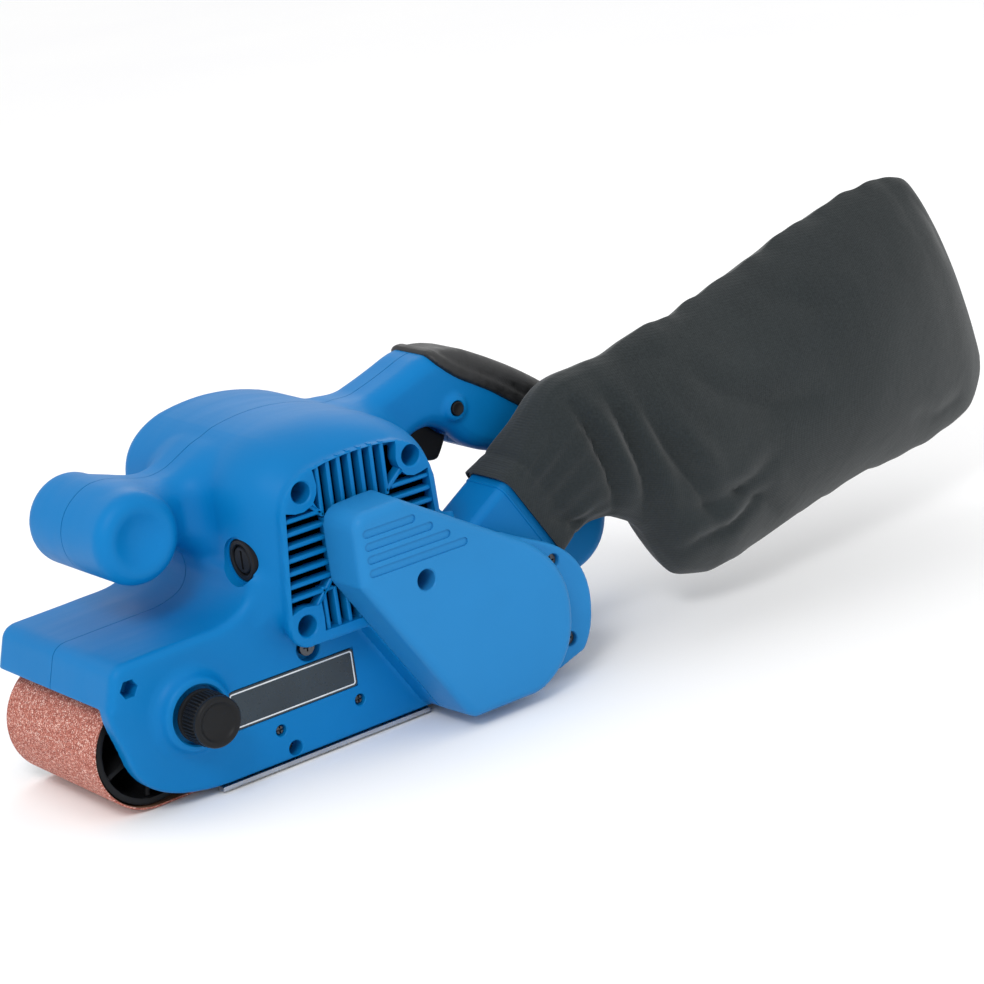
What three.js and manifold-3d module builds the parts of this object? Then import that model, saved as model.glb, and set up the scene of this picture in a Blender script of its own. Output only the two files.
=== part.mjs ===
// Handheld belt sander, 75 mm belt.
// Millimetres, +Z up. The origin is the centre of the flat sanding face, midway between the rollers.
// +X points to the rear (handle and dust bag), -Y to the drive-cover side.

import * as THREE from 'three';
import { mergeVertices } from 'three/addons/utils/BufferGeometryUtils.js';
import Module from 'manifold-3d';

const wasm = await Module();
wasm.setup();

// ---------------------------------------------------------------- driving dimensions

const GAP = 0.3;                 // clearance between touching pieces
const WALL = 3;                  // moulded wall

// belt run
const BELT_WIDTH = 75;
const BELT_RADIUS = 26.5;        // outside of the belt round a roller
const BELT_THICKNESS = 1;
const ROLLER_SPACING = 146.8;
const ROLLER_X = ROLLER_SPACING / 2;
const ROLLER_Z = BELT_RADIUS;
const ROLLER_RADIUS = 25;
const ROLLER_HALF = 36.5;

// housing
const SKIRT_Y = -49.5;           // outer face of the left side wall
const SKIRT_INNER_Y = -41.3;
const NOSE_RIGHT_Y = 42;
const BARREL_RIGHT_Y = 50;
const VENT_Y = -62;              // face with the cooling slots
const SEAM_HALF = 0.15;

// motor, axis along Y
const MOTOR_X = 30.6;
const MOTOR_Z = 92.5;
const MOTOR_BORE = 33.5;
const SHAFT_RADIUS = 4;
const BEARING_RADIUS = 11;
const BRUSH_Y = -39;
const FAN_BLADES = 9;

// toothed drive, pitch 3 mm
const TOOTH_PITCH = 3;
const SMALL_TEETH = 12;
const LARGE_TEETH = 36;
const TOOTH_BELT_THICKNESS = 1.6;
const PULLEY_Y0 = -79;
const PULLEY_Y1 = -69;
const DRIVE_SHAFT_RADIUS = 6;

// drive cover
const COVER_Y = -86;
const COVER_BACK_Y = -62.6;
const FLANGE_Y = -70;
const COVER_WALL = 2.2;

// handles
const FRONT_GRIP = { x: -57.7, z: 112, r: 20, half: 32 };
const BAR_HALF = 17;
const GRIP_HALF = 17.6;

// tracking knob, axis along Y
const KNOB = { x: -57.5, z: 40, r: 11.5, y0: -71, y1: -56.5 };

// dust outlet: the mouth plane faces rearwards and 32 degrees up
const OUTLET_TILT = THREE.MathUtils.degToRad(32);
const OUTLET = { x: 133.9, y: -38.9, z: 76.2, width: 27.6, height: 46, corner: 9, length: 38 };
const COLLAR_WALL = 1.3;
const BAG_WALL = 1.5;
const BAG_TRAVEL = 60;

// ---------------------------------------------------------------- materials

function finish(color, roughness, metalness = 0) {
  return new THREE.MeshStandardMaterial({ color, roughness, metalness });
}

const BLUE = finish(0x0f72c4, 0.45);
const LIGHT_BLUE = finish(0x3c8ad0, 0.42);
const BLACK_RUBBER = finish(0x1f2022, 0.75);
const BLACK_PLASTIC = finish(0x26272a, 0.5);
const ABRASIVE = finish(0x9a4f3f, 0.95);
const STEEL = finish(0xb9bcc0, 0.3, 1);
const ALUMINIUM = finish(0xa9acb0, 0.45, 1);
const COPPER = finish(0xb4683a, 0.35, 1);
const BRASS = finish(0xc09a4c, 0.35, 1);
const CARBON = finish(0x2a2a2c, 0.8);
const CORK = finish(0x4b4540, 0.95);
const LABEL = finish(0x16242c, 0.4);
const FABRIC = finish(0x33383a, 0.95);

// ---------------------------------------------------------------- solids

function signedVolume(position, index) {
  const a = new THREE.Vector3();
  const b = new THREE.Vector3();
  const c = new THREE.Vector3();
  let volume = 0;
  for (let i = 0; i < index.length; i += 3) {
    a.fromBufferAttribute(position, index[i]);
    b.fromBufferAttribute(position, index[i + 1]);
    c.fromBufferAttribute(position, index[i + 2]);
    volume += a.dot(b.cross(c)) / 6;
  }
  return volume;
}

// A three.js geometry with one vertex at each corner, joined before it is moved.
function weld(geometry) {
  geometry.deleteAttribute('normal');
  geometry.deleteAttribute('uv');
  return mergeVertices(geometry, 1e-5);
}

// A welded, closed geometry as a solid whose faces point out.
function solid(geometry) {
  const index = Array.from(geometry.index.array);
  const flip = signedVolume(geometry.attributes.position, index) < 0;
  const triangles = [];
  for (let i = 0; i < index.length; i += 3) {
    const [p, q, r] = index.slice(i, i + 3);
    if (p !== q && q !== r && r !== p) triangles.push(...(flip ? [p, r, q] : [p, q, r]));
  }
  const mesh = new wasm.Mesh({
    numProp: 3,
    vertProperties: new Float32Array(geometry.attributes.position.array),
    triVerts: new Uint32Array(triangles),
  });
  return new wasm.Manifold(mesh);
}

function join(...solids) {
  return solids.reduce((sum, next) => sum.add(next));
}

function cut(body, ...tools) {
  return tools.reduce((rest, tool) => rest.subtract(tool), body);
}

function node(name, body, material, position = [0, 0, 0]) {
  const { vertProperties, triVerts } = body.getMesh();
  const geometry = new THREE.BufferGeometry();
  geometry.setAttribute('position', new THREE.BufferAttribute(vertProperties, 3));
  geometry.setIndex(new THREE.BufferAttribute(triVerts, 1));
  geometry.computeVertexNormals();
  const mesh = new THREE.Mesh(geometry, material);
  mesh.name = name;
  mesh.position.set(...position);
  return mesh;
}

function box(x0, x1, y0, y1, z0, z1) {
  const geometry = weld(new THREE.BoxGeometry(x1 - x0, y1 - y0, z1 - z0));
  geometry.translate((x0 + x1) / 2, (y0 + y1) / 2, (z0 + z1) / 2);
  return solid(geometry);
}

// Cylinder along Y, X or Z; the other two coordinates are the axis position.
function rodY(x, z, radius, y0, y1, sides = 24) {
  const geometry = weld(new THREE.CylinderGeometry(radius, radius, y1 - y0, sides));
  geometry.translate(x, (y0 + y1) / 2, z);
  return solid(geometry);
}

function rodX(y, z, radius, x0, x1, sides = 24) {
  const geometry = weld(new THREE.CylinderGeometry(radius, radius, x1 - x0, sides));
  geometry.rotateZ(Math.PI / 2);
  geometry.translate((x0 + x1) / 2, y, z);
  return solid(geometry);
}

function rodZ(x, y, radius, z0, z1, sides = 16) {
  const geometry = weld(new THREE.CylinderGeometry(radius, radius, z1 - z0, sides));
  geometry.rotateX(Math.PI / 2);
  geometry.translate(x, y, (z0 + z1) / 2);
  return solid(geometry);
}

// A side outline in X and Z, extruded from y0 to y1.
function slab(shape, y0, y1, curveSegments = 6) {
  const geometry = weld(new THREE.ExtrudeGeometry(shape, { depth: y1 - y0, bevelEnabled: false, curveSegments }));
  geometry.rotateX(Math.PI / 2);
  geometry.translate(0, y1, 0);
  return solid(geometry);
}

// The same with rounded edges on both faces.
function softSlab(shape, y0, y1, bevel, curveSegments = 6) {
  const options = {
    depth: y1 - y0 - 2 * bevel,
    bevelThickness: bevel,
    bevelSize: bevel,
    bevelOffset: -bevel,
    bevelSegments: 1,
    curveSegments,
  };
  const geometry = weld(new THREE.ExtrudeGeometry(shape, options));
  geometry.rotateX(Math.PI / 2);
  geometry.translate(0, y1 - bevel, 0);
  return solid(geometry);
}

// Ring or disc turned about Y; the profile is a closed list of [radius, y].
function turned(profile, sides = 32) {
  const points = [...profile, profile[0]].map(([r, y]) => new THREE.Vector2(r, y));
  return solid(weld(new THREE.LatheGeometry(points, sides)));
}

function polygon(points) {
  return new THREE.Shape(points.map(([x, z]) => new THREE.Vector2(x, z)));
}

function stadium(radius, x0, x1, z, sides = 14) {
  const points = [];
  for (let i = 0; i <= sides; i += 1) {
    const angle = Math.PI / 2 + (Math.PI * i) / sides;
    points.push([x0 + radius * Math.cos(angle), z + radius * Math.sin(angle)]);
  }
  for (let i = 0; i <= sides; i += 1) {
    const angle = -Math.PI / 2 + (Math.PI * i) / sides;
    points.push([x1 + radius * Math.cos(angle), z + radius * Math.sin(angle)]);
  }
  return polygon(points);
}

// Outline wrapped by a tight belt round two circles.
function beltOutline(a, b, grow, sides = 12) {
  const along = Math.atan2(b.z - a.z, b.x - a.x);
  const lean = Math.acos((a.r - b.r) / Math.hypot(b.x - a.x, b.z - a.z));
  const points = [];
  for (const [centre, from, to] of [
    [b, along - lean, along + lean],
    [a, along + lean, along - lean + 2 * Math.PI],
  ]) {
    for (let i = 0; i <= sides; i += 1) {
      const angle = from + ((to - from) * i) / sides;
      points.push([
        centre.x + (centre.r + grow) * Math.cos(angle),
        centre.z + (centre.r + grow) * Math.sin(angle),
      ]);
    }
  }
  return polygon(points);
}

// ---------------------------------------------------------------- housing outlines (X, Z)

function bodyOutline() {
  const shape = new THREE.Shape();
  shape.moveTo(-95.4, 51);
  shape.lineTo(-91.4, 64.5);
  shape.quadraticCurveTo(-89.5, 69, -84, 69.3);
  shape.lineTo(-42, 70.5);
  shape.quadraticCurveTo(-22, 71.5, -19, 86);
  shape.lineTo(88, 86);
  shape.quadraticCurveTo(92, 60, 107, 52);
  shape.lineTo(107, 22);
  shape.lineTo(-60, 22);
  shape.lineTo(-60, 51);
  return shape;
}

function skirtOutline() {
  const shape = new THREE.Shape();
  shape.moveTo(-95.4, 51);
  shape.bezierCurveTo(-95.5, 44, -91.5, 36, -89.5, 27);
  shape.bezierCurveTo(-86, 12, -72, 4.5, -46, 2.8);
  shape.lineTo(88, 2.8);
  shape.quadraticCurveTo(107, 4, 107, 26);
  shape.lineTo(107, 60);
  shape.lineTo(-86, 60);
  return shape;
}

function motorOutline(inset = 0) {
  const shape = new THREE.Shape();
  shape.moveTo(-19 + inset, 66);
  shape.lineTo(-19 + inset, 116);
  shape.quadraticCurveTo(-18 + inset, 133 - inset, 2, 139.5 - inset);
  shape.quadraticCurveTo(28, 145.5 - inset, 54, 137 - inset);
  shape.quadraticCurveTo(82 - inset, 128 - inset, 84 - inset, 104);
  shape.lineTo(86 - inset, 66);
  return shape;
}

function ventBoxOutline(inset = 0) {
  const shape = new THREE.Shape();
  shape.moveTo(-2, 53 + inset);
  shape.quadraticCurveTo(-12 + inset, 54 + inset, -12 + inset, 66);
  shape.lineTo(-8 + inset, 112);
  shape.quadraticCurveTo(-5 + inset, 127 - inset, 12, 129.5 - inset);
  shape.quadraticCurveTo(32, 132 - inset, 53, 129.5 - inset);
  shape.quadraticCurveTo(69 - inset, 126 - inset, 71.5 - inset, 108);
  shape.lineTo(73 - inset, 66);
  shape.lineTo(72 - inset, 53 + inset);
  return shape;
}

// Outside of the rear D-handle and of its hand opening.
function handleOutline() {
  const shape = new THREE.Shape();
  shape.moveTo(60, 112);
  shape.lineTo(66, 133);
  shape.quadraticCurveTo(84, 136, 100, 143);
  shape.quadraticCurveTo(114, 149, 130, 142.5);
  shape.quadraticCurveTo(160, 127, 178, 111);
  shape.quadraticCurveTo(203, 85, 203, 52);
  shape.quadraticCurveTo(203, 25, 172, 22);
  shape.lineTo(100, 22);
  shape.lineTo(84, 50);
  shape.lineTo(70, 80);
  return shape;
}

function handOpening() {
  const path = new THREE.Shape();
  path.moveTo(86, 100);
  path.quadraticCurveTo(90, 114, 104, 113.5);
  path.quadraticCurveTo(112, 112, 118, 105);
  path.quadraticCurveTo(126, 95, 148, 90);
  path.quadraticCurveTo(171, 80, 171, 62);
  path.quadraticCurveTo(170, 51, 156, 50);
  path.lineTo(116, 50);
  path.quadraticCurveTo(96, 54, 90, 76);
  return path;
}

function handleCavity() {
  return polygon([
    [64, 116], [68, 129], [86, 131], [100, 136], [108, 135], [121, 126], [146, 108], [166, 93],
    [177, 76], [196, 71], [198, 56], [194, 36], [172, 26], [112, 26], [110, 44], [158, 46],
    [176, 57], [176, 70], [164, 85], [146, 94], [130, 100], [121, 109], [112, 117], [94, 118], [82, 110],
  ]);
}

// Soft grip on top of the bar, seen from the side.
function gripOutline(grow = 0) {
  const shape = new THREE.Shape();
  shape.moveTo(106 - grow, 160);
  shape.lineTo(106.5 - grow, 147 - grow);
  shape.quadraticCurveTo(113, 138.5 - grow, 122, 131.3 - grow);
  shape.lineTo(152, 112 - grow);
  shape.quadraticCurveTo(172 - grow, 98 - grow, 186 - grow, 76 - grow);
  shape.lineTo(215, 84 - grow);
  shape.lineTo(180, 150);
  return shape;
}

// ---------------------------------------------------------------- housing

function beltChannel() {
  const reach = BELT_RADIUS + WALL;
  const round = slab(stadium(reach, -ROLLER_X, ROLLER_X, ROLLER_Z), SKIRT_INNER_Y, 70);
  const below = box(-120, ROLLER_X + reach, SKIRT_INNER_Y, 70, -10, ROLLER_Z);
  const nose = box(-120, -ROLLER_X, SKIRT_INNER_Y, 70, -10, 51);
  return join(round, below, nose);
}

function motorCavity() {
  const room = join(
    slab(ventBoxOutline(WALL), VENT_Y + 5, -20),
    rodY(MOTOR_X, MOTOR_Z, MOTOR_BORE, -30, BARREL_RIGHT_Y - WALL, 40),
    slab(motorOutline(WALL + 1), -20, BARREL_RIGHT_Y - 12).subtract(box(-50, 120, -30, 60, 0, 80)),
  );
  return cut(
    room,
    box(-60, 120, SKIRT_INNER_Y - 3, 60, 0, 59),
    rodY(MOTOR_X, MOTOR_Z, BEARING_RADIUS + 4, -60, -52, 28),
    rodY(MOTOR_X, MOTOR_Z, BEARING_RADIUS + 4, 41, 60, 28),
    ...Object.values(MOTOR_SCREWS).map(([x, z]) => rodY(x, z, 6.6, -60, -31, 12)),
  );
}

function frontHandle() {
  const { x, z, r, half } = FRONT_GRIP;
  const grip = turned([[0, -half], [r - 5, -half], [r - 1.5, 3 - half], [r, 8 - half],
    [r, half - 8], [r - 1.5, half - 3], [r - 5, half], [0, half]], 24);
  const dish = rodY(0, 0, 11, -half - 5, 2 - half);
  const dishRight = rodY(0, 0, 11, half - 2, half + 5);
  const neck = softSlab(polygon([[x, z - 13], [x, z + 12], [-16, 130], [-10, 130], [-10, 88], [-19, 92],
    [-30, 97]]), -17, 17, 5);
  return cut(grip, dish, dishRight).translate([x, 0, z]).add(neck);
}

function frontHandleCavity() {
  const { x, z, r, half } = FRONT_GRIP;
  return join(
    rodY(x, z, r - WALL - 0.5, 6 - half, half - 6),
    box(x, -6, -12, 12, z - 10, z + 8),
  );
}

// Cooling slots in the vent face: upright ones above and below, level ones left and right.
function ventSlots() {
  const slots = [];
  const depth = [VENT_Y - 5, VENT_Y + 8];
  for (let i = 0; i < 8; i += 1) {
    const x = 13 + i * 5;
    const lift = 3 * Math.cos(((i - 3.5) / 4) * 1.3);
    slots.push(box(x, x + 3, ...depth, 111, 119.5 + lift));
    if (i < 4) slots.push(box(x - 3, x, ...depth, 60, 69));
  }
  for (let i = 0; i < 6; i += 1) {
    const z = 76 + i * 6;
    slots.push(box(-5.5 + i * 0.5, 7, ...depth, z, z + 3.2));
    if (i > 1) slots.push(box(54, 67.5, ...depth, z, z + 3.2));
  }
  return slots;
}

const MOTOR_SCREWS = {
  motor_screw_upper_front: [3.4, 120],
  motor_screw_upper_rear: [60.4, 120.5],
  motor_screw_lower_front: [-3, 63],
  motor_screw_lower_rear: [64, 63],
};
const COVER_SCREWS = {
  drive_cover_screw_middle: [43.5, 73.8],
  drive_cover_screw_upper: [121.5, 55.5],
  drive_cover_screw_lower: [126, 17.5],
};
const CLAMP_SCREW = [3, 48.9];

function coverOutline() {
  const shape = new THREE.Shape();
  shape.moveTo(11.2, 79);
  shape.lineTo(11, 103);
  shape.quadraticCurveTo(11.5, 111, 20, 111.5);
  shape.lineTo(37, 112);
  shape.lineTo(100, 74);
  shape.quadraticCurveTo(119, 60, 119, 40);
  shape.quadraticCurveTo(119, 18, 104, 8.6);
  shape.quadraticCurveTo(98, 4.8, 93, 4.6);
  shape.lineTo(60.5, 4.6);
  shape.quadraticCurveTo(57, 6, 55, 9);
  return shape;
}

function flangeOutline() {
  const shape = new THREE.Shape();
  shape.moveTo(100, 74);
  shape.lineTo(116, 66.5);
  shape.quadraticCurveTo(140.5, 56, 140.5, 33);
  shape.quadraticCurveTo(140, 17, 133, 10);
  shape.quadraticCurveTo(126, 8, 119, 5.5);
  shape.lineTo(96, 5.5);
  return shape;
}

// Case behind the drive cover, carrying the pulley bearings.
function pulleyCase() {
  const plate = slab(coverOutline(), VENT_Y, SKIRT_Y + 3);
  return join(plate.subtract(box(100, 150, -58, -40, 0, 120)), slab(flangeOutline(), VENT_Y, -60));
}

function housingShell() {
  const outer = join(
    softSlab(bodyOutline(), SKIRT_Y, NOSE_RIGHT_Y, 3),
    slab(skirtOutline(), SKIRT_Y, SKIRT_INNER_Y + 0.5),
    softSlab(motorOutline(), -28, BARREL_RIGHT_Y, 8),
    softSlab(ventBoxOutline(), VENT_Y, -16, 3),
    frontHandle(),
    pulleyCase(),
    rodY(KNOB.x, KNOB.z, 16, KNOB.y1 + 0.5, SKIRT_Y + 2, 28),
  );
  const handle = softSlab(handleOutline(), -BAR_HALF, BAR_HALF, 4, 8);
  return cut(
    outer.add(handle.subtract(slab(handOpening(), -30, 30, 8))),
    beltChannel(),
    motorCavity(),
    frontHandleCavity(),
    slab(handleCavity(), -BAR_HALF + WALL, BAR_HALF - WALL),
    box(-84, -24, -44, 38, 59.5, 66),
    box(-26, -16, -12, 12, 62, 66),
    slab(gripOutline(GAP), -30, 30),
  );
}

function leftHousing() {
  const half = housingShell().intersect(box(-150, 260, -120, -SEAM_HALF, -20, 200));
  const screwHoles = Object.values(MOTOR_SCREWS).flatMap(([x, z]) => [
    rodY(x, z, 4.7, VENT_Y - 5, -46.3, 16),
    rodY(x, z, 2.2, -50, -34, 8),
  ]);
  const coverHoles = Object.values(COVER_SCREWS).map(([x, z]) => rodY(x, z, 2.4, VENT_Y - 5, SKIRT_Y - 3, 12));
  return cut(
    half,
    ...ventSlots(),
    ...screwHoles,
    ...coverHoles,
    rodY(...CLAMP_SCREW, 4.2, VENT_Y - 5, SKIRT_Y + 5),
    rodY(MOTOR_X, MOTOR_Z, BEARING_RADIUS + GAP, -58.2, -45, 28),
    rodY(MOTOR_X, MOTOR_Z, SHAFT_RADIUS + 2, VENT_Y - 5, -50),
    rodY(ROLLER_X, ROLLER_Z, 13 + GAP, -57.2, -40, 28),
    rodY(ROLLER_X, ROLLER_Z, DRIVE_SHAFT_RADIUS + 2, VENT_Y - 5, -50),
    rodY(KNOB.x, KNOB.z, KNOB.r + 1.2, KNOB.y1 - 5, SKIRT_Y - 1.5, 28),
    rodY(KNOB.x, KNOB.z, 3.4, KNOB.y1 - 5, -40, 16),
    ...brushBores(),
    rodY(-83.4, 58, 4.2, SKIRT_Y - 5, SKIRT_Y + 5, 6),
    rodY(-10.6, 5.9 + 1.6, 2.8, SKIRT_Y - 5, SKIRT_Y + 5, 16),
    lockButtonBore(),
    triggerSlot(),
    switchRoom(),
    glandBore(),
    labelSeat(),
    pinBore(),
    placedDuctBlock(GAP, -OUTLET.length - 1, BAG_TRAVEL),
    placedDuctBlock(COLLAR_WALL + BAG_WALL + 2.8, -11, BAG_TRAVEL),
    ...Object.values(FRAME_SCREWS).map(([x, z]) => rodY(x, z, 2, SKIRT_Y - 5, -30, 12)),
  );
}

function pinBore() {
  return rodY(TRIGGER_PIVOT.x, TRIGGER_PIVOT.z, 1.5 + GAP, -14.4, 14.4, 12);
}

function rightHousing() {
  const half = housingShell().intersect(box(-150, 260, SEAM_HALF, 120, -20, 200));
  const vents = [];
  for (let i = 0; i < 6; i += 1) {
    vents.push(box(8 + i * 8, 11 + i * 8, BARREL_RIGHT_Y - 8, BARREL_RIGHT_Y + 5, 62, 72));
    vents.push(box(8 + i * 8, 11 + i * 8, BARREL_RIGHT_Y - 8, BARREL_RIGHT_Y + 5, 112, 122));
  }
  return cut(half, ...vents, rightBearingSeat(), triggerSlot(), switchRoom(), glandBore(), pinBore());
}

function rightBearingSeat() {
  return rodY(MOTOR_X, MOTOR_Z, BEARING_RADIUS + GAP, 30, 48.4, 28);
}

const BRUSH = { inner: 15.6, holder: 6, cap: 8.6 };
const BRUSH_SEATS = { front: { x: -13.4, side: -1 }, rear: { x: 75.2, side: 1 } };

function brushBores() {
  return Object.values(BRUSH_SEATS).map(({ x, side }) => {
    const [a, b] = [MOTOR_X + side * BRUSH.inner, x + side * 8];
    const bore = rodX(BRUSH_Y, MOTOR_Z, BRUSH.holder + GAP, Math.min(a, b), Math.max(a, b));
    const [c, d] = [x - side * 4.4, x + side * 12];
    return bore.add(rodX(BRUSH_Y, MOTOR_Z, BRUSH.cap + GAP, Math.min(c, d), Math.max(c, d)));
  });
}

const LOCK_BUTTON = { x: 117.6, z: 119.7, r: 3.2 };

function lockButtonBore() {
  return rodY(LOCK_BUTTON.x, LOCK_BUTTON.z, LOCK_BUTTON.r + GAP, -BAR_HALF - 5, -8);
}

const TRIGGER_PIVOT = { x: 99, z: 121 };

function triggerSlot() {
  return box(90.5, 123, -8, 8, 99, 124);
}

function switchRoom() {
  return box(90.5, 126, -12, 12, 113.6, 124.5);
}

const GLAND = { x: 200, z: 62, r: 9 };

function glandBore() {
  return rodX(0, GLAND.z, GLAND.r + GAP, 190, 220);
}

const PLATE = { x0: -40, x1: 24.5, z0: 24.7, z1: 42 };

function labelSeat() {
  return box(PLATE.x0 - GAP, PLATE.x1 + GAP, SKIRT_Y - 5, SKIRT_Y + 0.6, PLATE.z0 - GAP, PLATE.z1 + GAP);
}

// ---------------------------------------------------------------- drive cover

// Outline moved inwards by a wall thickness, with mitred corners.
function insetOutline(shape, distance, divisions = 6) {
  const points = shape.getPoints(divisions).filter((p, i, all) => i === 0 || p.distanceTo(all[i - 1]) > 0.05);
  if (points[0].distanceTo(points[points.length - 1]) < 0.05) points.pop();
  const inward = THREE.ShapeUtils.isClockWise(points) ? -1 : 1;
  const moved = points.map((p, i) => {
    const before = points[(i + points.length - 1) % points.length];
    const after = points[(i + 1) % points.length];
    const a = p.clone().sub(before).normalize();
    const b = after.clone().sub(p).normalize();
    const normal = new THREE.Vector2(-(a.y + b.y), a.x + b.x).normalize();
    const mitre = Math.max(0.4, normal.dot(new THREE.Vector2(-a.y, a.x)));
    return p.clone().addScaledVector(normal, (inward * distance) / mitre);
  });
  return new THREE.Shape(moved);
}

function driveCover() {
  const [middle, upper, lower] = Object.values(COVER_SCREWS);
  const inside = insetOutline(coverOutline(), COVER_WALL);
  const shell = cut(
    join(softSlab(coverOutline(), COVER_Y, COVER_BACK_Y, 2), slab(flangeOutline(), FLANGE_Y, COVER_BACK_Y)),
    slab(inside, COVER_Y + COVER_WALL, COVER_BACK_Y + 5),
  );
  const post = rodY(...middle, 6.4, COVER_Y + 1, COVER_BACK_Y, 20);
  const recesses = [
    rodY(...middle, 4.6, COVER_Y - 5, -65.2, 20),
    rodY(...upper, 3.4, COVER_Y, -65.2, 16),
    rodY(...lower, 3.4, COVER_Y, -65.2, 16),
  ];
  const holes = Object.values(COVER_SCREWS).map(([x, z]) => rodY(x, z, 2.3, COVER_Y, COVER_BACK_Y + 5, 12));
  return cut(shell.add(post), ...recesses, ...holes);
}

// Screw along Y with its head at the outer end.
function screw(x, z, headY, length, headRadius = 3.1, shankRadius = 1.9) {
  const head = rodY(x, z, headRadius, headY, headY + 2.4, 12);
  const cross = join(
    box(x - 2, x + 2, headY - 1, headY + 1, z - 0.4, z + 0.4),
    box(x - 0.4, x + 0.4, headY - 1, headY + 1, z - 2, z + 2),
  );
  return head.add(rodY(x, z, shankRadius, headY + 2, headY + length, 8)).subtract(cross);
}

// ---------------------------------------------------------------- toothed drive

const SMALL_RADIUS = (SMALL_TEETH * TOOTH_PITCH) / (2 * Math.PI) - 0.4;
const LARGE_RADIUS = (LARGE_TEETH * TOOTH_PITCH) / (2 * Math.PI) - 0.4;

function toothedPulley(teeth, radius, bore, hub) {
  const points = [];
  const step = (2 * Math.PI) / teeth;
  for (let i = 0; i < teeth; i += 1) {
    for (const [turn, depth] of [[0.05, 1.1], [0.25, 0], [0.7, 0], [0.9, 1.1]]) {
      const angle = (i + turn) * step;
      points.push([(radius - depth) * Math.cos(angle), (radius - depth) * Math.sin(angle)]);
    }
  }
  const body = slab(polygon(points), PULLEY_Y0 + 1, PULLEY_Y1);
  return cut(body.add(rodY(0, 0, hub, PULLEY_Y0 + 1, PULLEY_Y1 + 4)), rodY(0, 0, bore, -100, 0));
}

function toothedBelt() {
  const small = { x: MOTOR_X, z: MOTOR_Z, r: SMALL_RADIUS };
  const large = { x: ROLLER_X, z: ROLLER_Z, r: LARGE_RADIUS };
  return cut(
    slab(beltOutline(small, large, GAP + 0.1 + TOOTH_BELT_THICKNESS), PULLEY_Y0 + 1.5, PULLEY_Y1 - 0.5),
    slab(beltOutline(small, large, GAP + 0.1), PULLEY_Y0 - 5, PULLEY_Y1 + 5),
  );
}

// ---------------------------------------------------------------- motor, modelled about its own axis

function sector(inner, outer, from, to, y0, y1) {
  const shape = new THREE.Shape();
  shape.absarc(0, 0, outer, from, to, false);
  shape.absarc(0, 0, inner, to, from, true);
  return slab(shape, y0, y1, 10);
}

const COIL_HALF_ANGLE = THREE.MathUtils.degToRad(52);

function fieldCoil(centreAngle) {
  return sector(20.4, 26.4, centreAngle - COIL_HALF_ANGLE, centreAngle + COIL_HALF_ANGLE, -28, 22);
}

function statorCore() {
  const windows = [Math.PI / 2, -Math.PI / 2].map((angle) => (
    sector(19.5, 26.7, angle - COIL_HALF_ANGLE - 0.02, angle + COIL_HALF_ANGLE + 0.02, -60, 60)
  ));
  return cut(rodY(0, 0, 33, -24, 18, 32), rodY(0, 0, 19.9, -60, 60, 28), ...windows);
}

function armatureCore() {
  const slots = [];
  for (let i = 0; i < 12; i += 1) {
    const angle = (i / 12) * 2 * Math.PI;
    const geometry = weld(new THREE.BoxGeometry(8, 90, 1.6));
    geometry.translate(18, 0, 0);
    geometry.rotateY(angle);
    slots.push(solid(geometry));
  }
  return cut(rodY(0, 0, 19, -24, 18, 24), rodY(0, 0, SHAFT_RADIUS + GAP, -60, 60), ...slots);
}

function commutator() {
  return turned([[SHAFT_RADIUS + GAP, -46], [14, -46], [14, -33], [16, -32.5], [16, -30], [SHAFT_RADIUS + GAP, -30]]);
}

function coolingFan() {
  const hub = turned([[SHAFT_RADIUS + GAP, 22], [9, 22], [9, 25], [31, 25], [31, 27], [9, 27], [9, 35],
    [SHAFT_RADIUS + GAP, 35]], 28);
  const blades = [];
  for (let i = 0; i < FAN_BLADES; i += 1) {
    const geometry = weld(new THREE.BoxGeometry(22, 8, 1.4));
    geometry.rotateY(0.35);
    geometry.translate(19, 30.5, 0);
    geometry.rotateY((i / FAN_BLADES) * 2 * Math.PI);
    blades.push(solid(geometry));
  }
  return join(hub, ...blades);
}

function bearing(outer, bore, y0, y1) {
  return turned([[bore, y0], [outer, y0], [outer, y1], [bore, y1]], 24);
}

function brushHolder({ x, side }) {
  const [a, b] = [MOTOR_X + side * BRUSH.inner, x - side * 5];
  const [low, high] = [Math.min(a, b), Math.max(a, b)];
  return cut(rodX(BRUSH_Y, MOTOR_Z, BRUSH.holder, low, high, 20), rodX(BRUSH_Y, MOTOR_Z, 4.7, low - 5, high + 5, 20));
}

function brush({ side }) {
  const [a, b] = [MOTOR_X + side * 14.4, MOTOR_X + side * 28];
  return box(Math.min(a, b), Math.max(a, b), BRUSH_Y - 3, BRUSH_Y + 3, MOTOR_Z - 3, MOTOR_Z + 3);
}

function brushCap({ x, side }) {
  const [a, b] = [x, x - side * 4];
  const disc = rodX(BRUSH_Y, MOTOR_Z, BRUSH.cap, Math.min(a, b), Math.max(a, b), 28);
  return cut(disc, box(x - 1, x + 1, BRUSH_Y - 0.8, BRUSH_Y + 0.8, MOTOR_Z - 5, MOTOR_Z + 5));
}

// ---------------------------------------------------------------- rollers, about their own axis

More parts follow.
